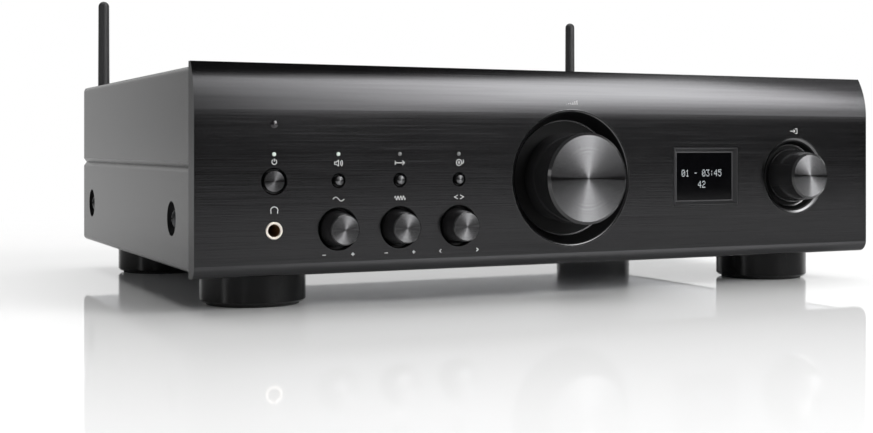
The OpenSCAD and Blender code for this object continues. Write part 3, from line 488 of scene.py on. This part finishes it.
def plated_steel(name, metal, roughness=0.3):
    """Zinc plate with faint rolling lines and spangle."""
    finish = Finish(name)
    place = finish.place()
    rolled = finish.noise(finish.stretched(place, (20.0, 900.0, 900.0)), 1.0, 2.0)
    spangle = finish.noise(place, 160.0, 3.0)
    tint = finish.blend(spangle, shade(metal, 0.85), metal)
    return finish.set(
        Base_Color=tint,
        Metallic=1.0,
        Roughness=roughness + spangle * 0.12,
        Normal=finish.bump(rolled, 0.00002),
    )


def moulded(name, plastic, roughness, grain=0.0005):
    """Moulded plastic with a fine grain."""
    finish = Finish(name)
    place = finish.place()
    fine = finish.noise(place, 1.0 / grain, 2.0)
    cloud = finish.noise(place, 60.0, 2.0)
    tint = finish.blend(cloud, shade(plastic, 0.85), shade(plastic, 1.15))
    return finish.set(
        Base_Color=tint,
        Roughness=roughness + cloud * 0.08,
        Normal=finish.bump(fine, 0.00002),
    )


def spun_control(node, finishes):
    """Spun metal face and gloss black skirt of a knob or button."""
    finish = Finish("spun_" + node)
    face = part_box(node)[0].y
    _, y, _ = finish.axes(finish.place())
    depth = y - face
    across, up, radius = finish.spokes(node)
    edge, painted_face_shade = FACES[node]
    skirt = finish.ease(depth, edge, edge + 0.05 * MM)
    rings = finish.saw(radius, 0.16 * MM)
    tone = finish.grooves(radius, 1.1 * MM)
    # The face's metal is darkened by its painted shade from the table above
    spun = shade(finishes.spun, painted_face_shade)
    metal = finish.blend(tone, shade(spun, 0.86), shade(spun, 1.1))
    return finish.set(
        Base_Color=finish.blend(skirt, metal, finishes.skirt),
        Metallic=1 - skirt,
        Roughness=0.05 + tone * 0.03 + skirt * 0.05,
        Normal=finish.turned(rings * (1 - skirt) * SPUN_TILT, across, up),
    )


def turned_well(node, finishes):
    """Black coated well with turning lines, and a bead and lip painted as bright metal: polish and a painted
    highlight.
    """
    finish = Finish("turned_" + node)
    _, _, radius = finish.spokes(node)
    lines = finish.grooves(radius, 0.0004, 2.0)
    tint = finish.blend(lines, shade(finishes.dish, 0.8), shade(finishes.dish, 1.25))
    # Bead and lip in bright metal: a painted highlight where the well's shape has no edge to catch the light
    inner, outer, lip = WELL_HIGHLIGHTS[node]
    polish_and_highlight = finish.band(radius, inner, outer) + (radius > lip)
    return finish.set(
        Base_Color=finish.blend(polish_and_highlight, tint, shade(finishes.rim, 0.55)),
        Metallic=polish_and_highlight,
        Specular_IOR_Level=0.06,
        Roughness=0.32 + lines * 0.1 - polish_and_highlight * 0.12,
        Normal=finish.bump(lines, 0.00003),
    )


def gold_plate(name, finishes):
    """Gold plating with faint turning lines."""
    finish = Finish(name)
    place = finish.place()
    wear = finish.noise(place, 420.0, 3.0)
    tint = finish.blend(wear, shade(finishes.gold, 0.82), finishes.gold)
    return finish.set(Base_Color=tint, Metallic=1.0, Roughness=0.16 + wear * 0.14)


class RECEIVER_OT_cabinet(bpy.types.Operator):
    """Finish the front panel, cover, chassis, rear panel, feet and screws"""

    bl_idname = "receiver.cabinet"
    bl_label = "Cabinet"

    def execute(self, context):
        finishes = context.scene.receiver_finishes
        brushed_panel(finishes).coat("front_panel")
        cover_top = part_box("top_cover")[1].z - 0.5 * MM
        sheet_paint("charcoal_paint", finishes.cover, 0.18, 0.16, cover_top).coat("top_cover")
        sheet_paint("black_paint", finishes.rear, 0.38, 0.4).coat("rear_panel")
        plated_steel("zinc_plate", finishes.steel).coat("bottom_chassis")
        moulded("gloss_foot", finishes.foot, 0.16, 0.0009).set(Specular_IOR_Level=0.2).coat("feet")
        moulded("pad_rubber", finishes.rubber, 0.7, 0.0004).coat("foot_pads")
        plated_steel("black_zinc", shade(finishes.steel, 0.12), 0.3).coat("case_screws")
        return {"FINISHED"}


class RECEIVER_OT_controls(bpy.types.Operator):
    """Finish the knobs, buttons, wells and shafts"""

    bl_idname = "receiver.controls"
    bl_label = "Controls"

    def execute(self, context):
        finishes = context.scene.receiver_finishes
        for node in FACES:
            spun_control(node, finishes).coat(node)
        for node in ("volume_dish", "selector_dish"):
            turned_well(node, finishes).coat(node)
        shafts = [name for name in frame["nodes"] if name.endswith("_shaft")]
        plated_steel("ground_steel", finishes.steel, 0.2).coat("rotary_controls", *shafts)
        moulded("black_moulding", finishes.plastic, 0.45).coat("front_subframe", "button_switches")
        return {"FINISHED"}


class RECEIVER_OT_display(bpy.types.Operator):
    """Finish the display's frame and window and add its lit digits"""

    bl_idname = "receiver.display"
    bl_label = "Display"

    def execute(self, context):
        finishes = context.scene.receiver_finishes
        frame_finish = Finish("black_frame")
        fine = frame_finish.noise(frame_finish.place(), 900.0, 2.0)
        tint = frame_finish.blend(fine, shade(finishes.bezel, 0.9), finishes.bezel)
        frame_finish.set(Base_Color=tint, Metallic=1.0, Roughness=0.3 + fine * 0.1).coat("display_frame")
        window = Finish("smoked_window")
        haze = window.noise(window.place(), 90.0, 2.0)
        black = window.blend(haze, (0.001, 0.001, 0.0012), (0.002, 0.002, 0.0025))
        window.set(Base_Color=black, Roughness=0.05 + haze * 0.03, Specular_IOR_Level=0.12)
        window.coat("display_window", "display_module")
        self.add_digits(context)
        return {"FINISHED"}

    def add_digits(self, context):
        """Lit dots just in front of the window, one small tile for each."""
        marks = context.scene.receiver_marks
        low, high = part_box("display_window")
        centre = (low + high) / 2
        face = low.y
        mesh = bmesh.new()
        row_pitch = marks.dot_pitch * marks.dot_stretch
        upper_rise, lower_rise = 2.0 * MM, -4.7 * MM
        for text, rise in ((marks.upper_row, upper_rise), (marks.lower_row, lower_rise)):
            advance = (SIGN_COLUMNS + 1) * marks.dot_pitch
            left = centre.x - marks.digits_left - (len(text) * advance - marks.dot_pitch) / 2
            for i, sign in enumerate(text):
                for row, bits in enumerate(DOT_SIGNS[sign].split()):
                    for column, bit in enumerate(bits):
                        if bit == "1":
                            x = left + i * advance + (column + 0.5) * marks.dot_pitch
                            z = centre.z + rise + (SIGN_ROWS / 2 - row - 0.5) * row_pitch
                            size = (marks.dot, marks.dot * marks.dot_stretch)
                            add_tile(mesh, Vector((x, face, z)), size, marks.ink_film)
        glow = Finish("lit_digits")
        flicker = glow.noise(glow.place(), 700.0, 1.0)
        digits = context.scene.receiver_finishes.digits
        light = glow.blend(flicker, shade(digits, 0.85), digits)
        glow.set(Base_Color=(0.1, 0.1, 0.1), Emission_Color=light, Emission_Strength=1.0)
        add_piece("display_digits", mesh, glow)


class RECEIVER_OT_lamps(bpy.types.Operator):
    """Finish the indicator lenses, of which two are lit, and the remote sensor"""

    bl_idname = "receiver.lamps"
    bl_label = "Lamps"

    def execute(self, context):
        finishes = context.scene.receiver_finishes
        finish = Finish("indicator_lens")
        x, _, z = finish.axes(finish.place())
        sensor_height = 6 * MM
        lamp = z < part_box("front_lenses")[1].z - sensor_height
        lit = lamp * (x < (COLUMNS[0] + COLUMNS[1]) / 2)
        frost = finish.noise(finish.place(), 1500.0, 2.0)
        lens = finish.blend(frost, (0.13, 0.13, 0.13), (0.21, 0.21, 0.21))
        finish.set(
            Base_Color=finish.blend(lamp, (0.01, 0.008, 0.01), lens),
            Roughness=0.06 + lamp * 0.3,
            Emission_Color=finish.blend(lit, (0.0, 0.0, 0.0), finishes.lamp),
            Emission_Strength=1.0,
        )
        finish.coat("front_lenses")
        return {"FINISHED"}


class RECEIVER_OT_connectors(bpy.types.Operator):
    """Finish the jacks, sockets, terminals and antennas"""

    bl_idname = "receiver.connectors"
    bl_label = "Connectors"

    def execute(self, context):
        finishes = context.scene.receiver_finishes
        self.phones(finishes)
        gold_plate("gold_plate", finishes).coat("rca_jacks", "terminal_posts", "antenna_sockets")
        self.inserts(finishes)
        sockets = moulded("socket_plastic", finishes.plastic, 0.4)
        sockets.coat("digital_sockets", "mains_inlet", "terminal_block")
        red = moulded("red_cap", finishes.red, 0.22, 0.0009)
        black = moulded("black_cap", finishes.plastic, 0.22, 0.0009)
        for i, node in enumerate(sorted(TERMINAL_CAPS)):
            (black if i % 2 else red).coat(node)
        plated_steel("nut_plate", finishes.steel, 0.22).coat("ground_nut")
        antenna = moulded("antenna_plastic", finishes.plastic, 0.5, 0.0006)
        for side in SIDES:
            antenna.coat("antenna_elbow_" + side, "antenna_rod_" + side)
        return {"FINISHED"}

    def phones(self, finishes):
        """Gold ring round a dark bore."""
        bore_edge = (3.22 * MM, 3.3 * MM)
        bore_depth = (0.6 * MM, 1.4 * MM)
        finish = Finish("phones_ring")
        _, y, _ = finish.axes(finish.place())
        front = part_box("phones_jack")[0].y
        _, _, radius = finish.spokes("phones_jack")
        inner = 1 - finish.ease(radius, *bore_edge)
        deep = finish.ease(y - front, *bore_depth) * inner
        wear = finish.noise(finish.place(), 500.0, 2.0)
        gold = finish.blend(wear, shade(finishes.pale_gold, 0.9), finishes.pale_gold)
        finish.set(
            Base_Color=finish.blend(deep, gold, (0.17, 0.085, 0.03)),
            Metallic=0.7 - deep * 0.7,
            Roughness=0.42 + deep * 0.2,
        )
        finish.coat("phones_jack")

    def inserts(self, finishes):
        """White in the upper row, red in the lower row and orange at the digital jack."""
        finish = Finish("insert_plastic")
        x, _, z = finish.axes(finish.place())
        low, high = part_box("rca_inserts")
        middle_drop, digital_width = 4 * MM, 14 * MM
        rows = (low.z + high.z) / 2 - middle_drop
        digital = x < low.x + digital_width
        cloud = finish.noise(finish.place(), 200.0, 2.0)
        red = finish.blend(cloud, shade(finishes.red, 0.85), finishes.red)
        white, orange = (0.62, 0.62, 0.6), (0.55, 0.16, 0.01)
        row_colour = finish.blend(z > rows, red, white)
        finish.set(Base_Color=finish.blend(digital, row_colour, orange), Roughness=0.32 + cloud * 0.1)
        finish.coat("rca_inserts")


class RECEIVER_OT_inside(bpy.types.Operator):
    """Finish what can be seen through the vents: transformer, heat sink, boards and capacitors"""

    bl_idname = "receiver.inside"
    bl_label = "Inside"

    def execute(self, context):
        finishes = context.scene.receiver_finishes
        core = Finish("laminations")
        _, y, _ = core.axes(core.place())
        leaves = core.grooves(y, 0.0005)
        iron = core.blend(leaves, (0.05, 0.05, 0.055), (0.16, 0.15, 0.15))
        core.set(Base_Color=iron, Metallic=0.7, Roughness=0.45, Normal=core.bump(leaves, 0.0001))
        core.coat("transformer_core")
        winding = Finish("winding")
        _, _, z = winding.axes(winding.place())
        turns = winding.grooves(z, 0.0009)
        wire = winding.blend(turns, shade(finishes.copper, 0.5), finishes.copper)
        winding.set(Base_Color=wire, Metallic=0.6, Roughness=0.4, Normal=winding.bump(turns, 0.0003))
        winding.coat("transformer_winding")
        plated_steel("extruded_aluminium", [0.62, 0.62, 0.63], 0.35).coat("heat_sink")
        moulded("epoxy", finishes.plastic, 0.5).coat("power_transistors")
        board = Finish("circuit_board")
        tracks = board.noise(board.stretched(board.place(), (260.0, 420.0, 420.0)), 1.0, 0.0)
        mask = board.ease(tracks, 0.48, 0.52)
        resist = board.blend(mask, finishes.board, shade(finishes.board, 1.7))
        board.set(Base_Color=resist, Roughness=0.35, Normal=board.bump(mask, 0.00004))
        board.coat("amplifier_board", "input_board", "network_module", "control_board")
        sleeve = Finish("capacitor_sleeve")
        fine = sleeve.noise(sleeve.place(), 120.0, 2.0)
        navy = sleeve.blend(fine, (0.012, 0.014, 0.03), (0.02, 0.024, 0.05))
        sleeve.set(Base_Color=navy, Roughness=0.25 + fine * 0.1)
        sleeve.coat("filter_capacitors")
        return {"FINISHED"}


def add_tile(mesh, place, size, film):
    """A small tile that stands on a face turned to -Y."""
    half_w, half_h = size[0] / 2, size[1] / 2
    corners = [(-half_w, -half_h), (half_w, -half_h), (half_w, half_h), (-half_w, half_h)]
    back = [mesh.verts.new((place.x + u, place.y, place.z + v)) for u, v in corners]
    front = [mesh.verts.new((place.x + u, place.y - film, place.z + v)) for u, v in corners]
    mesh.faces.new(front)
    mesh.faces.new(back[::-1])
    for i in range(4):
        j = (i + 1) % 4
        mesh.faces.new((back[i], back[j], front[j], front[i]))


def add_piece(name, mesh, finish):
    """Makes an object of a bmesh, gives it a finish and lets it ride on the cabinet."""
    bmesh.ops.recalc_face_normals(mesh, faces=mesh.faces)
    data = bpy.data.meshes.new(name)
    mesh.to_mesh(data)
    mesh.free()
    data.materials.append(finish.material)
    piece = bpy.data.objects.new(name, data)
    bpy.context.scene.collection.objects.link(piece)
    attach(piece, BODY)


def arc(radius, start, end, steps=16, centre=(0, 0)):
    """Points on an arc, with angles in degrees from the right, turning left."""
    points = []
    for i in range(steps + 1):
        angle = math.radians(start + (end - start) * i / steps)
        points.append((centre[0] + radius * math.cos(angle), centre[1] + radius * math.sin(angle)))
    return points


def wave(periods, width, height, steps=24):
    """Points on a sine wave about the origin."""
    points = []
    for i in range(steps + 1):
        share = i / steps
        points.append(((share - 0.5) * width, height * math.sin(2 * math.pi * periods * share)))
    return points


# Pictograms in millimetres about their middle, each a list of lines
def standby_sign():
    return [arc(1.1, 120, 420), [(0, 0.1), (0, 1.5)]]


def phones_sign():
    band = arc(1.7, 0, 180, centre=(0, -0.2))
    return [band, [(-1.55, -0.2), (-1.55, -1.5)], [(1.55, -0.2), (1.55, -1.5)]]


def speaker_sign():
    horn = [(-1.9, -0.5), (-1.1, -0.5), (0, -1.3), (0, 1.3), (-1.1, 0.5), (-1.9, 0.5), (-1.9, -0.5)]
    return [horn, arc(1.1, -45, 45), arc(1.9, -45, 45)]


def direct_sign():
    return [[(-2.4, 0), (2.2, 0)], [(1.1, -1.0), (2.3, 0), (1.1, 1.0)], [(-2.4, -0.9), (-2.4, 0.9)]]


def record_sign():
    return [arc(1.4, 0, 360), arc(0.4, 0, 360), [(2.3, 1.4), (2.3, -0.2), (1.0, -0.7)]]


def bass_sign():
    return [wave(1, 5.4, 0.9)]


def treble_sign():
    return [wave(4, 5.4, 0.9, 64)]


def balance_sign():
    return [[(-0.6, -0.9), (-2.4, 0), (-0.6, 0.9)], [(0.6, -0.9), (2.4, 0), (0.6, 0.9)]]


def volume_sign():
    bars, pitch = 6, 1.2
    lefts = [(i - (bars - 1) / 2) * pitch for i in range(bars)]
    return [[(x, -1.0), (x, -0.8 + i * 0.36)] for i, x in enumerate(lefts)]


def selector_sign():
    arrow = [[(-2.6, 0), (0.6, 0)], [(-0.4, -0.8), (0.6, 0), (-0.4, 0.8)]]
    return arrow + [[(0.6, 1.2), (2, 1.2), (2, -1.2), (0.6, -1.2)]]


def minus_sign():
    return [[(-0.8, 0), (0.8, 0)]]


def plus_sign():
    return [[(-0.8, 0), (0.8, 0)], [(0, -0.8), (0, 0.8)]]


def arrow_sign(side):
    return [[(-side * 0.4, -0.8), (side * 0.6, 0), (-side * 0.4, 0.8)]]


def ground_sign():
    bars = [[(-1.5, 0), (1.5, 0)], [(-0.9, -0.8), (0.9, -0.8)], [(-0.3, -1.6), (0.3, -1.6)]]
    return [[(0, 1.6), (0, 0)]] + bars


def outline(low, high):
    """A closed frame between two corners, with chamfered corners."""
    cut = 1.5
    left, bottom = low
    right, top = high
    points = [(left + cut, bottom), (right - cut, bottom), (right, bottom + cut), (right, top - cut)]
    points += [(right - cut, top), (left + cut, top), (left, top - cut), (left, bottom + cut)]
    return [points + points[:1]]


def panel_depth(z):
    """How far the panel's face is set back at a height, by its curved top band."""
    bend = (BAND_HEIGHT ** 2 + BAND_BACK ** 2) / (2 * BAND_BACK)
    rise = max(0.0, z - BEND_Z)
    return bend - math.sqrt(bend * bend - rise * rise)


def add_line(mesh, points, width, film, surface, outward):
    """A flat printed line along points in X and Z, standing on a surface whose Y depends on Z."""
    closed = math.dist(points[0], points[-1]) < 1e-9
    if closed:
        points = points[:-1]
    count = len(points)
    rings = []
    for i, (x, z) in enumerate(points):
        before = points[i - 1] if i or closed else points[i]
        after = points[(i + 1) % count] if i < count - 1 or closed else points[i]
        run_in = Vector((x - before[0], z - before[1]))
        run_out = Vector((after[0] - x, after[1] - z))
        first = run_in.normalized() if run_in.length else run_out.normalized()
        second = run_out.normalized() if run_out.length else run_in.normalized()
        along = (first + second).normalized()
        across = Vector((-along.y, along.x)) * width / 2 / max(0.5, along.dot(second))
        ring = []
        for side, lift in ((1, 0), (1, 1), (-1, 1), (-1, 0)):
            u, v = x + across.x * side, z + across.y * side
            ring.append(mesh.verts.new((u, surface(v) + outward * film * lift, v)))
        rings.append(ring)
    spans = zip(rings, rings[1:] + rings[:1]) if closed else zip(rings, rings[1:])
    for ring, following in spans:
        for i in range(4):
            j = (i + 1) % 4
            mesh.faces.new((ring[i], ring[j], following[j], following[i]))
    if not closed:
        mesh.faces.new(rings[0][::-1])
        mesh.faces.new(rings[-1])


def white_ink(finishes):
    """Screen-printed white ink."""
    finish = Finish("white_ink")
    speckle = finish.noise(finish.place(), 4000.0, 2.0)
    tint = finish.blend(speckle, shade(finishes.ink, 0.85), finishes.ink)
    return finish.set(Base_Color=tint, Roughness=0.5 + speckle * 0.2)


class RECEIVER_OT_front_marks(bpy.types.Operator):
    """Print plain pictograms at the front controls"""

    bl_idname = "receiver.front_marks"
    bl_label = "Front marks"

    def execute(self, context):
        marks = context.scene.receiver_marks
        unit = marks.scale * MM
        above_button, above_knob = 9.1 * MM, 15.5 * MM
        above_power, above_jack = 9.9 * MM, 10.4 * MM
        above_volume, above_selector = 42.5 * MM, 27.2 * MM
        below_knob, beside_knob, beside_balance = 13.3 * MM, 8 * MM, 11 * MM
        signs = [
            (standby_sign(), POWER_X, BUTTON_ROW + above_power),
            (phones_sign(), POWER_X, TONE_ROW + above_jack),
            (volume_sign(), 0.0, BUTTON_ROW + above_volume),
            (selector_sign(), SELECTOR_X, BUTTON_ROW + above_selector),
        ]
        for x, sign in zip(COLUMNS, (speaker_sign(), direct_sign(), record_sign())):
            signs.append((sign, x, BUTTON_ROW + above_button))
        for x, sign in zip(COLUMNS, (bass_sign(), treble_sign(), balance_sign())):
            signs.append((sign, x, TONE_ROW + above_knob))
        for x in COLUMNS[:2]:
            signs.append((minus_sign(), x - beside_knob, TONE_ROW - below_knob))
            signs.append((plus_sign(), x + beside_knob, TONE_ROW - below_knob))
        for side in (-1, 1):
            signs.append((arrow_sign(side), COLUMNS[2] + side * beside_balance, TONE_ROW - below_knob))
        mesh = bmesh.new()
        for lines, x, z in signs:
            for line in lines:
                points = [(x + u * unit, z + v * unit) for u, v in line]
                add_line(mesh, points, marks.line, marks.ink_film, lambda v: FRONT_Y + panel_depth(v), -1)
        add_piece("front_marks", mesh, white_ink(context.scene.receiver_finishes))
        return {"FINISHED"}


class RECEIVER_OT_rear_marks(bpy.types.Operator):
    """Print plain numbers and signs at the rear sockets and terminals"""

    bl_idname = "receiver.rear_marks"
    bl_label = "Rear marks"

    def execute(self, context):
        places = {}
        for mount in frame["record"]["mounts"]:
            places[mount["name"]] = (mount["pos_m"][0], mount["pos_m"][2])
        above_jack, above_inlet = 11 * MM, 5 * MM
        panel_signs = []
        for column in range(6):
            x, z = places[f"phono_{2 * column + 2}"]
            panel_signs.append((DIGIT_LINES[column + 1], x, z + above_jack))
        for i, name in enumerate(("optical_1", "optical_2", "phono_13")):
            x, z = places[name]
            panel_signs.append((DIGIT_LINES[i + 1], x, z + above_jack))
        post = middle("ground_nut")
        panel_signs.append((ground_sign(), post.x, post.z + above_jack))
        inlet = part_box("mains_inlet")
        panel_signs.append((bass_sign(), middle("mains_inlet").x, inlet[1].z + above_inlet))
        panel_signs.append((self.input_frame(places), 0.0, 0.0))
        block_signs = []
        block = middle("terminal_block")
        toward_middle = 9.4 * MM
        for i in range(1, 9):
            x, z = places[f"banana_{i}"]
            sign = plus_sign() if i % 2 else minus_sign()
            block_signs.append((sign, x, z + math.copysign(toward_middle, block.z - z)))
        for i, name in enumerate(("banana_5", "banana_1")):
            block_signs.append((DIGIT_LINES[i + 1], block.x, places[name][1]))
        self.print_signs(context, "rear_marks", panel_signs, REAR_Y, "rear_paint")
        block_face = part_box("terminal_block")[1].y
        self.print_signs(context, "terminal_marks", block_signs, block_face, "moulding_black")
        return {"FINISHED"}

    def input_frame(self, places):
        """A line round the input jacks, in the signs' own unit and as seen from behind."""
        near, far = places["phono_1"], places["phono_12"]
        margin, digit_room = 9.5 * MM, 6 * MM
        low = (-(near[0] + margin) / MM, (near[1] - margin) / MM)
        high = (-(far[0] - margin) / MM, (far[1] + margin + digit_room) / MM)
        return outline(low, high)

    def print_signs(self, context, name, signs, face, slot):
        """Signs on a face turned to +Y, mirrored so that they read from behind."""
        marks = context.scene.receiver_marks
        mesh = bmesh.new()
        for lines, x, z in signs:
            for line in lines:
                points = [(x - u * MM, z + v * MM) for u, v in line]
                add_line(mesh, points, marks.line, marks.ink_film, lambda v: face, 1)
        add_piece(name, mesh, white_ink(context.scene.receiver_finishes))


class RECEIVER_OT_stage(bpy.types.Operator):
    """Set the floor, room, lights and camera"""

    bl_idname = "receiver.stage"
    bl_label = "Stage"

    def execute(self, context):
        stage = context.scene.receiver_stage
        context.scene.view_settings.view_transform = "Standard"
        self.add_floor(stage)
        self.set_room(context, stage)
        for i, (share, size, heading, elevation) in enumerate(SOFTBOX):
            power = SOFTBOX_WATTS * size[0] * size[1] * share * stage.key
            self.add_light(f"softbox_{i + 1}", power, size, heading, elevation, SOFTBOX_DISTANCE)
        self.add_light("glint", stage.glint, *GLINT)
        self.add_light("left_strip", stage.strip, *LEFT_STRIP)
        mean_size, *place = LEFT_FILL
        area = sum(grow ** 2 for grow in FILL_STEPS)
        for i, grow in enumerate(FILL_STEPS):
            size = [side * grow for side in mean_size]
            self.add_light(f"left_fill_{i + 1}", stage.left * grow ** 2 / area, size, *place)
        self.add_light("overhead", stage.overhead, *OVERHEAD)
        self.add_camera(context, stage)
        return {"FINISHED"}

    def add_floor(self, stage):
        """A pale glossy floor that fades into white away from the receiver."""
        far = 20.0
        front = FRONT_Y - stage.floor_front
        right = CAD_BOX[1].x + stage.floor_right
        mesh = bmesh.new()
        corners = [(-far, front), (right, front), (right, far), (-far, far)]
        mesh.faces.new([mesh.verts.new((x, y, 0)) for x, y in corners])
        data = bpy.data.meshes.new("floor")
        mesh.to_mesh(data)
        mesh.free()
        floor = bpy.data.objects.new("floor", data)
        bpy.context.scene.collection.objects.link(floor)
        finish = Finish("pale_floor")
        data.materials.append(finish.material)
        path = finish.node("ShaderNodeLightPath", {}, {})
        sockets = path.socket.node.outputs
        names = ("Is Camera Ray", "Is Glossy Ray", "Is Transmission Ray")
        camera, glossy, through = (Value(finish, sockets[name]) for name in names)
        x, y, _ = finish.axes(finish.place())
        low, high = CAD_BOX
        beside = finish.beyond(x, high.x)
        before = finish.beyond(y, high.y)
        distance = (beside * beside + before * before) ** 0.5
        away = finish.ease(distance, *FLOOR_FADE)
        dull = finish.ease(distance, *FLOOR_DULL)
        finish.set(Base_Color=stage.floor, Roughness=0.035 + dull * 0.14, Specular_IOR_Level=0.25)
        in_front = 0.2
        behind = finish.ease(y, low.y - in_front, high.y)
        settings = {"operation": "ADD", "use_clamp": True}
        seen = finish.node("ShaderNodeMath", settings, {0: camera, 1: (glossy + through) * behind})
        white = finish.node("ShaderNodeEmission", {}, {"Color": (1, 1, 1), "Strength": 1.0})
        surface = Value(finish, finish.shader.outputs[0])
        mixed = finish.node("ShaderNodeMixShader", {}, {0: seen * away, 1: surface, 2: white})
        finish.feed(finish.tree.nodes["Material Output"].inputs["Surface"], mixed)

    def set_room(self, context, stage):
        """A room that is white behind the receiver and dim in front of it."""
        world = bpy.data.worlds.new("studio")
        world.use_nodes = True
        context.scene.world = world
        room = Shading(world.node_tree)
        x, y, _ = room.axes(room.node("ShaderNodeTexCoord", {}, {}, "Generated"))
        share = room.ease(y, *ROOM_BACK) * room.ease(x, *ROOM_RIGHT)
        dim = stage.room_front + share * (stage.room_back - stage.room_front)
        camera = room.node("ShaderNodeLightPath", {}, {}, "Is Camera Ray")
        level = dim + camera * (1 - dim)
        room.feed(world.node_tree.nodes["Background"].inputs["Strength"], level)
        world.node_tree.nodes["Background"].inputs["Color"].default_value = (1, 1, 1, 1)

    def add_light(self, name, power, size, heading, elevation, distance):
        """A rectangular softbox that faces the middle of the front, at a heading right of straight ahead."""
        aim = Vector((0, FRONT_Y, middle("front_panel").z))
        turn, rise = math.radians(heading), math.radians(elevation)
        level = Vector((math.sin(turn), -math.cos(turn), 0)) * math.cos(rise)
        place = aim + (level + Vector((0, 0, math.sin(rise)))) * distance
        data = bpy.data.lights.new(name, "AREA")
        data.shape = "RECTANGLE"
        data.size, data.size_y = size
        data.energy = power
        light = bpy.data.objects.new(name, data)
        light.location = place
        light.rotation_euler = (aim - place).to_track_quat("-Z", "Y").to_euler()
        light.visible_camera = False
        bpy.context.scene.collection.objects.link(light)

    def add_camera(self, context, stage):
        """The photograph's view."""
        data = bpy.data.cameras.new("camera")
        data.lens = stage.lens / MM
        data.shift_y = stage.drop
        camera = bpy.data.objects.new("camera", data)
        camera.location = stage.camera
        camera.rotation_euler = (math.pi / 2, 0, -stage.heading)
        context.scene.collection.objects.link(camera)
        context.scene.camera = camera


class RECEIVER_PT_looks(bpy.types.Panel):
    """Lists the steps that finish the receiver"""

    bl_idname = "RECEIVER_PT_looks"
    bl_label = "Receiver"
    bl_space_type = "VIEW_3D"
    bl_region_type = "UI"
    bl_category = "Receiver"

    def draw(self, context):
        for operator in OPERATORS:
            self.layout.operator(operator.bl_idname)


GROUPS = (ReceiverFinishes, ReceiverMarks, ReceiverStage)
OPERATORS = (
    RECEIVER_OT_stage,
    RECEIVER_OT_cabinet,
    RECEIVER_OT_controls,
    RECEIVER_OT_display,
    RECEIVER_OT_lamps,
    RECEIVER_OT_connectors,
    RECEIVER_OT_inside,
    RECEIVER_OT_front_marks,
    RECEIVER_OT_rear_marks,
)
CLASSES = (*GROUPS, *OPERATORS, RECEIVER_PT_looks)


def register():
    for cls in CLASSES:
        bpy.utils.register_class(cls)
    bpy.types.Scene.receiver_finishes = PointerProperty(type=ReceiverFinishes)
    bpy.types.Scene.receiver_marks = PointerProperty(type=ReceiverMarks)
    bpy.types.Scene.receiver_stage = PointerProperty(type=ReceiverStage)


def unregister():
    del bpy.types.Scene.receiver_stage
    del bpy.types.Scene.receiver_marks
    del bpy.types.Scene.receiver_finishes
    for cls in reversed(CLASSES):
        bpy.utils.unregister_class(cls)


def main():
    register()
    for operator in OPERATORS:
        group, name = operator.bl_idname.split(".")
        getattr(getattr(bpy.ops, group), name)()


if __name__ == "__main__":
    main()
